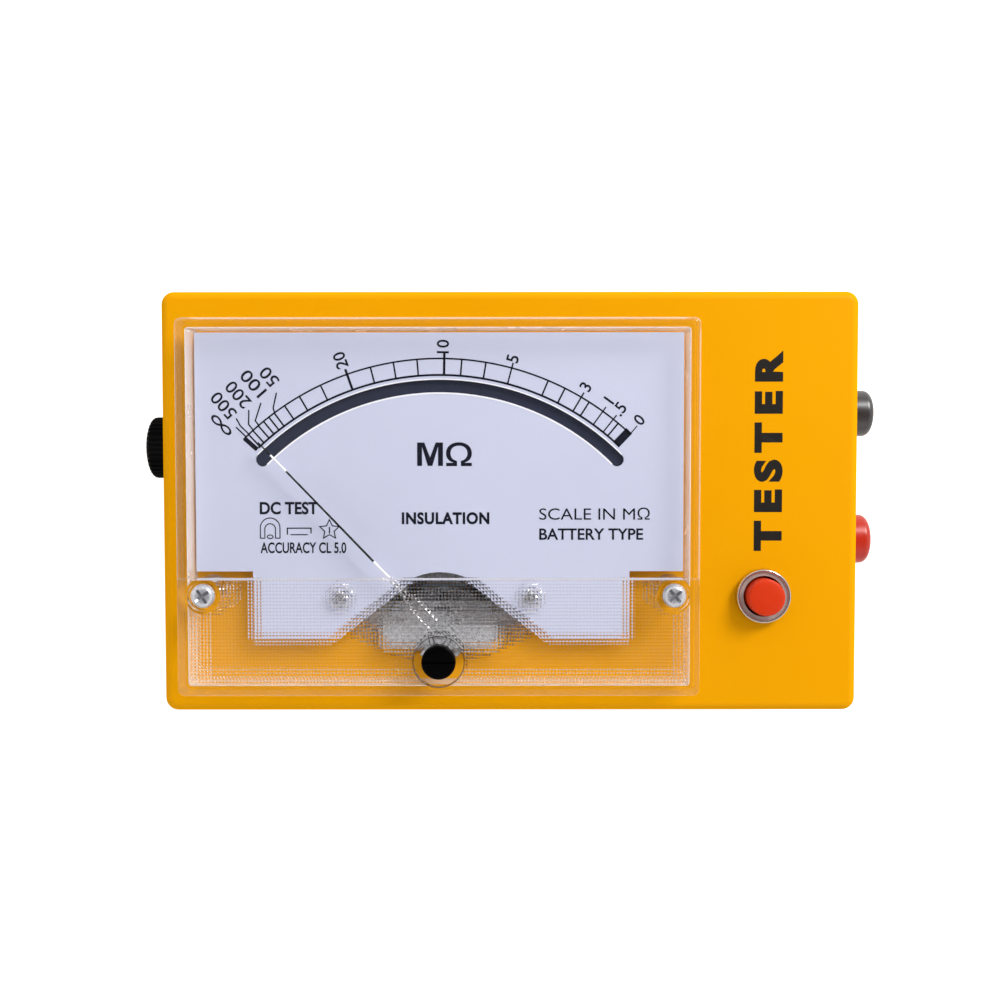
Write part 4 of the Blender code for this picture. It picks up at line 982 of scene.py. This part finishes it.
def pointer_piece(name, stations, tip_r):
    """A ridged bar through stations of (distance from the pivot, z, width, thickness)."""
    mesh_data = bmesh.new()
    rings = []
    for y, z, width, thick in stations:
        risen = min(1, max(0, (y - POINTER_RISE_R) / (POINTER_BEND_R - POINTER_RISE_R)))
        aside = POINTER_LEAN * (tip_r - y) * risen
        half, shoulder = width / 2, z + thick * 0.7
        corners = ((-half, z), (0, z + thick * 0.1), (half, z))
        corners += ((half, shoulder), (0, z + thick), (-half, shoulder))
        rings.append([mesh_data.verts.new((x + aside, y, height)) for x, height in corners])
    for near, far in zip(rings, rings[1:]):
        for i in range(6):
            j = (i + 1) % 6
            mesh_data.faces.new((near[i], near[j], far[j], far[i]))
    mesh_data.faces.new(list(reversed(rings[0])))
    mesh_data.faces.new(rings[-1])
    return add(name, mesh_data, POINTER_SURFACES[name])


def make_pointer():
    """The blade, which is painted black past its bare root, with a painted highlight on that root
    and on a band before the slot.
    """
    low, high = node_box("pointer")
    tip_r = math.hypot(PIVOT.x - low.x, high.y - PIVOT.y)
    flat = high.z - 0.8
    bend, bare = (POINTER_BEND_R, flat, 0.7, 0.6), (POINTER_BARE_R, flat, 0.6, 0.5)
    pieces = {
        "pointer_root": [
            (POINTER_START_R, ARM_BASE, 1.0, 1.2),
            (POINTER_RISE_R, ARM_BASE, 1.0, 1.2),
            (10.2, 50.8, 0.9, 1.2),
            (13.6, flat - 0.8, 0.8, 1.0),
            bend,
            bare,
        ],
        "pointer_bare_glint": [bare, (POINTER_ROOT_R, flat, 0.5, 0.5)],
        "pointer_blade": [(POINTER_ROOT_R, flat, 0.5, 0.5), (POINTER_HIGHLIGHT_R, flat, 0.42, 0.45)],
        "pointer_highlight_band": [(POINTER_HIGHLIGHT_R, flat, 0.45, 0.45), (POINTER_TIP_R, flat, 0.45, 0.45)],
        "pointer_tip": [(POINTER_TIP_R, flat, 0.38, 0.45), (tip_r, flat, 0.25, 0.4)],
    }
    swing = Matrix.Rotation(math.atan2(PIVOT.x - low.x, high.y - PIVOT.y), 4, "Z")
    for name, stations in pieces.items():
        piece = moved(pointer_piece(name, stations, tip_r), PIVOT.x, PIVOT.y, 0, swing)
        place(piece, "moving_system", "black_plastic")
    ring = [(1.0, ARM_BASE + 1), (2.4, ARM_BASE + 1), (2.4, ARM_BASE), (1.0, ARM_BASE)]
    hub = turned("pointer_hub", ring, nickel, 32, hollow=True)
    unite(hub, *[block(*part) for part in TAIL_PARTS])
    moved(hub, PIVOT.x, PIVOT.y, 0, swing)
    place(smooth(hub), "moving_system", "black_plastic", "pointer")


FLUTES, POINTS_PER_FLUTE = 36, 8
KNOB_RECESS_R, KNOB_RECESS_DEPTH, KNOB_BORE_R, KNOB_TOP, DISH_R = 6.9, 4.6, 3.2, 2.4, 5.6


def fluted(radius, depth):
    """The outline of a fluted knob."""
    count = FLUTES * POINTS_PER_FLUTE
    points = []
    for i in range(count):
        angle = 2 * math.pi * i / count
        dip = depth * (0.5 - 0.5 * math.cos(angle * FLUTES)) ** 0.7
        points.append(((radius - dip) * math.cos(angle), (radius - dip) * math.sin(angle)))
    return points


def make_knob():
    low, high = node_box("knob")
    centre = (low + high) / 2
    out = CASE_LOW.x - low.x
    start = CASE_LOW.x - high.x
    radius = (high.z - low.z) / 2
    sections = [
        (fluted(radius - 0.2, 0.4), start),
        (fluted(radius, 0.5), start + 0.3),
        (fluted(radius, 0.5), out - 1.0),
        (fluted(radius - 0.12, 0.45), out - 0.6),
        (fluted(radius - 0.45, 0.3), out - 0.25),
        (fluted(radius - 0.95, 0.08), out - 0.05),
        (fluted(radius - 1.5, 0.0), out),
    ]
    knob = loft("knob_detail", sections, jet)
    dish_profile = [(0, out - 0.45), (4.8, out - 0.3), (DISH_R, out + 0.1)]
    dish = turned("dish", [*dish_profile, (DISH_R, out + 1), (0, out + 1)])
    recess = rod("recess", KNOB_RECESS_R, 0, KNOB_RECESS_DEPTH)
    bore = rod("bore", KNOB_BORE_R, 0, out - KNOB_TOP)
    mark = block("mark", (-radius - 1, -0.4, out - 0.55), (-2.5, 0.4, out + 1))
    cut(knob, dish, recess, bore, mark)
    moved(knob, CASE_LOW.x, centre.y, centre.z, TO_LEFT)
    place(smooth(knob, 40), "knob", "black_plastic", "knob")


HEAD_ROUNDING, HEAD_NECK_R, HEAD_BORE_R, HEAD_GAP, HEAD_END = 1.9, 4.0, 3.3, 0.3, -7.0
# The contact's plug bore, sleeve and solder pin: radii, then distances from the case's wall.
PLUG_R, CONTACT_R, SOLDER_PIN_R = 2.0, 3.0, 1.2
CONTACT_END, SOLDER_PIN_END = -9.0, -12.5


def make_socket(colour, surface, slot):
    """An insulated plug socket, whose head has a rounded rim, and its contact."""
    wall = CASE_HIGH.x
    head_node, contact_node = f"{colour}_socket_head", f"{colour}_socket_contact"
    low, high = node_box(head_node)
    centre = (low + high) / 2
    radius, out, edge = (high.z - low.z) / 2, high.x - wall, HEAD_ROUNDING
    profile = [(HEAD_BORE_R, out - 0.25), (HEAD_BORE_R + 0.15, out - 0.05), (3.7, out)]
    profile += fillet(radius - edge, out - edge, edge, 90, 0, steps=9)
    profile += [(radius, 0.5), (radius - 0.15, HEAD_GAP), (HEAD_NECK_R, HEAD_GAP)]
    profile += [(HEAD_NECK_R, HEAD_END), (HEAD_BORE_R, HEAD_END)]
    head = turned(head_node + "_detail", profile, surface, sides=80, hollow=True)
    moved(head, wall, centre.y, centre.z, TO_RIGHT)
    place(smooth(head, 35), "case", slot, head_node)
    tip = node_box(contact_node)[1].x - wall
    profile = [(PLUG_R, tip - 0.3), (2.3, tip), (2.85, tip), (CONTACT_R, tip - 0.15)]
    profile += [(CONTACT_R, CONTACT_END), (SOLDER_PIN_R, CONTACT_END)]
    profile += [(SOLDER_PIN_R, SOLDER_PIN_END), (0, SOLDER_PIN_END)]
    profile += [(0, HEAD_END), (PLUG_R, HEAD_END)]
    contact = turned(contact_node + "_detail", profile, brass, sides=48, hollow=True)
    moved(contact, wall, centre.y, centre.z, TO_RIGHT)
    place(smooth(contact, 35), "case", "brass", contact_node)


# Studio

FLOOR_HALF, FLOOR_GAP = 4000, 0.2
# The floor's glow for other rays and for the camera.
FLOOR_GLOW = (0.4, 0.9)
KEY_RISE, KEY_TURN, KEY_DISTANCE, KEY_SIZE, KEY_POWER = 34, 46, 1100, 420, 8.4
# Brightness of the sky at heights from 0, level, to 1, straight up.
SKY = ((0.0, 0.7), (0.3, 1.0), (0.55, 1.1), (0.8, 0.48), (1.0, 0.06))
CAMERA_AT, CAMERA_TURN, CAMERA_LENS = (-2.43, 10.68, 317.8), (-2.155, 0.012, -0.039), 38.88


def make_floor():
    """A plain pale floor that stays pale where the camera sees it."""
    floor = Surface("studio_floor", (0.6, 0.6, 0.6, 1.0), 0.6)
    floor.gloss(0.1, 200)
    floor.bsdf.inputs["Emission Color"].default_value = (1.0, 1.0, 1.0, 1.0)
    seen = floor.nodes.new("ShaderNodeLightPath").outputs["Is Camera Ray"]
    glow = floor.ramp(seen, 0.0, 1.0, *FLOOR_GLOW)
    floor.links.new(glow, floor.bsdf.inputs["Emission Strength"])
    mesh_data = bmesh.new()
    z = node_box("rear_cover")[0].z - FLOOR_GAP
    corners = []
    for x, y in ((-1, -1), (1, -1), (1, 1), (-1, 1)):
        corners.append(mesh_data.verts.new((x * FLOOR_HALF, y * FLOOR_HALF, z)))
    mesh_data.faces.new(corners)
    add("floor", mesh_data, floor)


def make_key_light():
    """A soft round light above and to the right."""
    rise, turn = math.radians(KEY_RISE), math.radians(KEY_TURN)
    level = math.cos(rise)
    towards = Vector((level * math.cos(turn), level * math.sin(turn), math.sin(rise)))
    light = bpy.data.lights.new("key_light", "AREA")
    light.shape = "DISK"
    light.size = KEY_SIZE * MM
    light.energy = KEY_POWER
    lamp = bpy.data.objects.new("key_light", light)
    target = Vector((0, 0, FACE))
    position = target + towards * KEY_DISTANCE
    lamp.location = position * MM
    lamp.rotation_euler = (target - position).to_track_quat("-Z", "Y").to_euler()
    bpy.context.scene.collection.objects.link(lamp)


def make_sky():
    world = bpy.data.worlds.new("studio")
    bpy.context.scene.world = world
    world.use_nodes = True
    nodes, links = world.node_tree.nodes, world.node_tree.links
    coordinates = nodes.new("ShaderNodeTexCoord")
    split = nodes.new("ShaderNodeSeparateXYZ")
    ramp = nodes.new("ShaderNodeValToRGB")
    links.new(coordinates.outputs["Generated"], split.inputs["Vector"])
    links.new(split.outputs["Z"], ramp.inputs["Fac"])
    while len(ramp.color_ramp.elements) < len(SKY):
        ramp.color_ramp.elements.new(0.5)
    for element, (position, value) in zip(ramp.color_ramp.elements, SKY):
        element.position = position
        element.color = (value, value, value, 1.0)
    links.new(ramp.outputs["Color"], nodes["Background"].inputs["Color"])
    nodes["Background"].inputs["Strength"].default_value = 1.0


def make_camera():
    data = bpy.data.cameras.new("camera")
    data.sensor_width = 36.0
    data.lens = CAMERA_LENS
    data.clip_start, data.clip_end = 0.01, 20.0
    camera = bpy.data.objects.new("camera", data)
    camera.location = Vector(CAMERA_AT) * MM
    camera.rotation_euler = [math.radians(angle) for angle in CAMERA_TURN]
    bpy.context.scene.collection.objects.link(camera)
    bpy.context.scene.camera = camera


bpy.context.scene.view_settings.view_transform = "Standard"
dress_cad_nodes()
make_case()
make_cover()
make_printing()
make_screws()
make_button_cap()
make_button_bezel()
make_adjuster()
make_pointer()
make_knob()
make_socket("black", charcoal, "black_plastic")
make_socket("red", red, "red_plastic")
make_floor()
make_key_light()
make_sky()
make_camera()
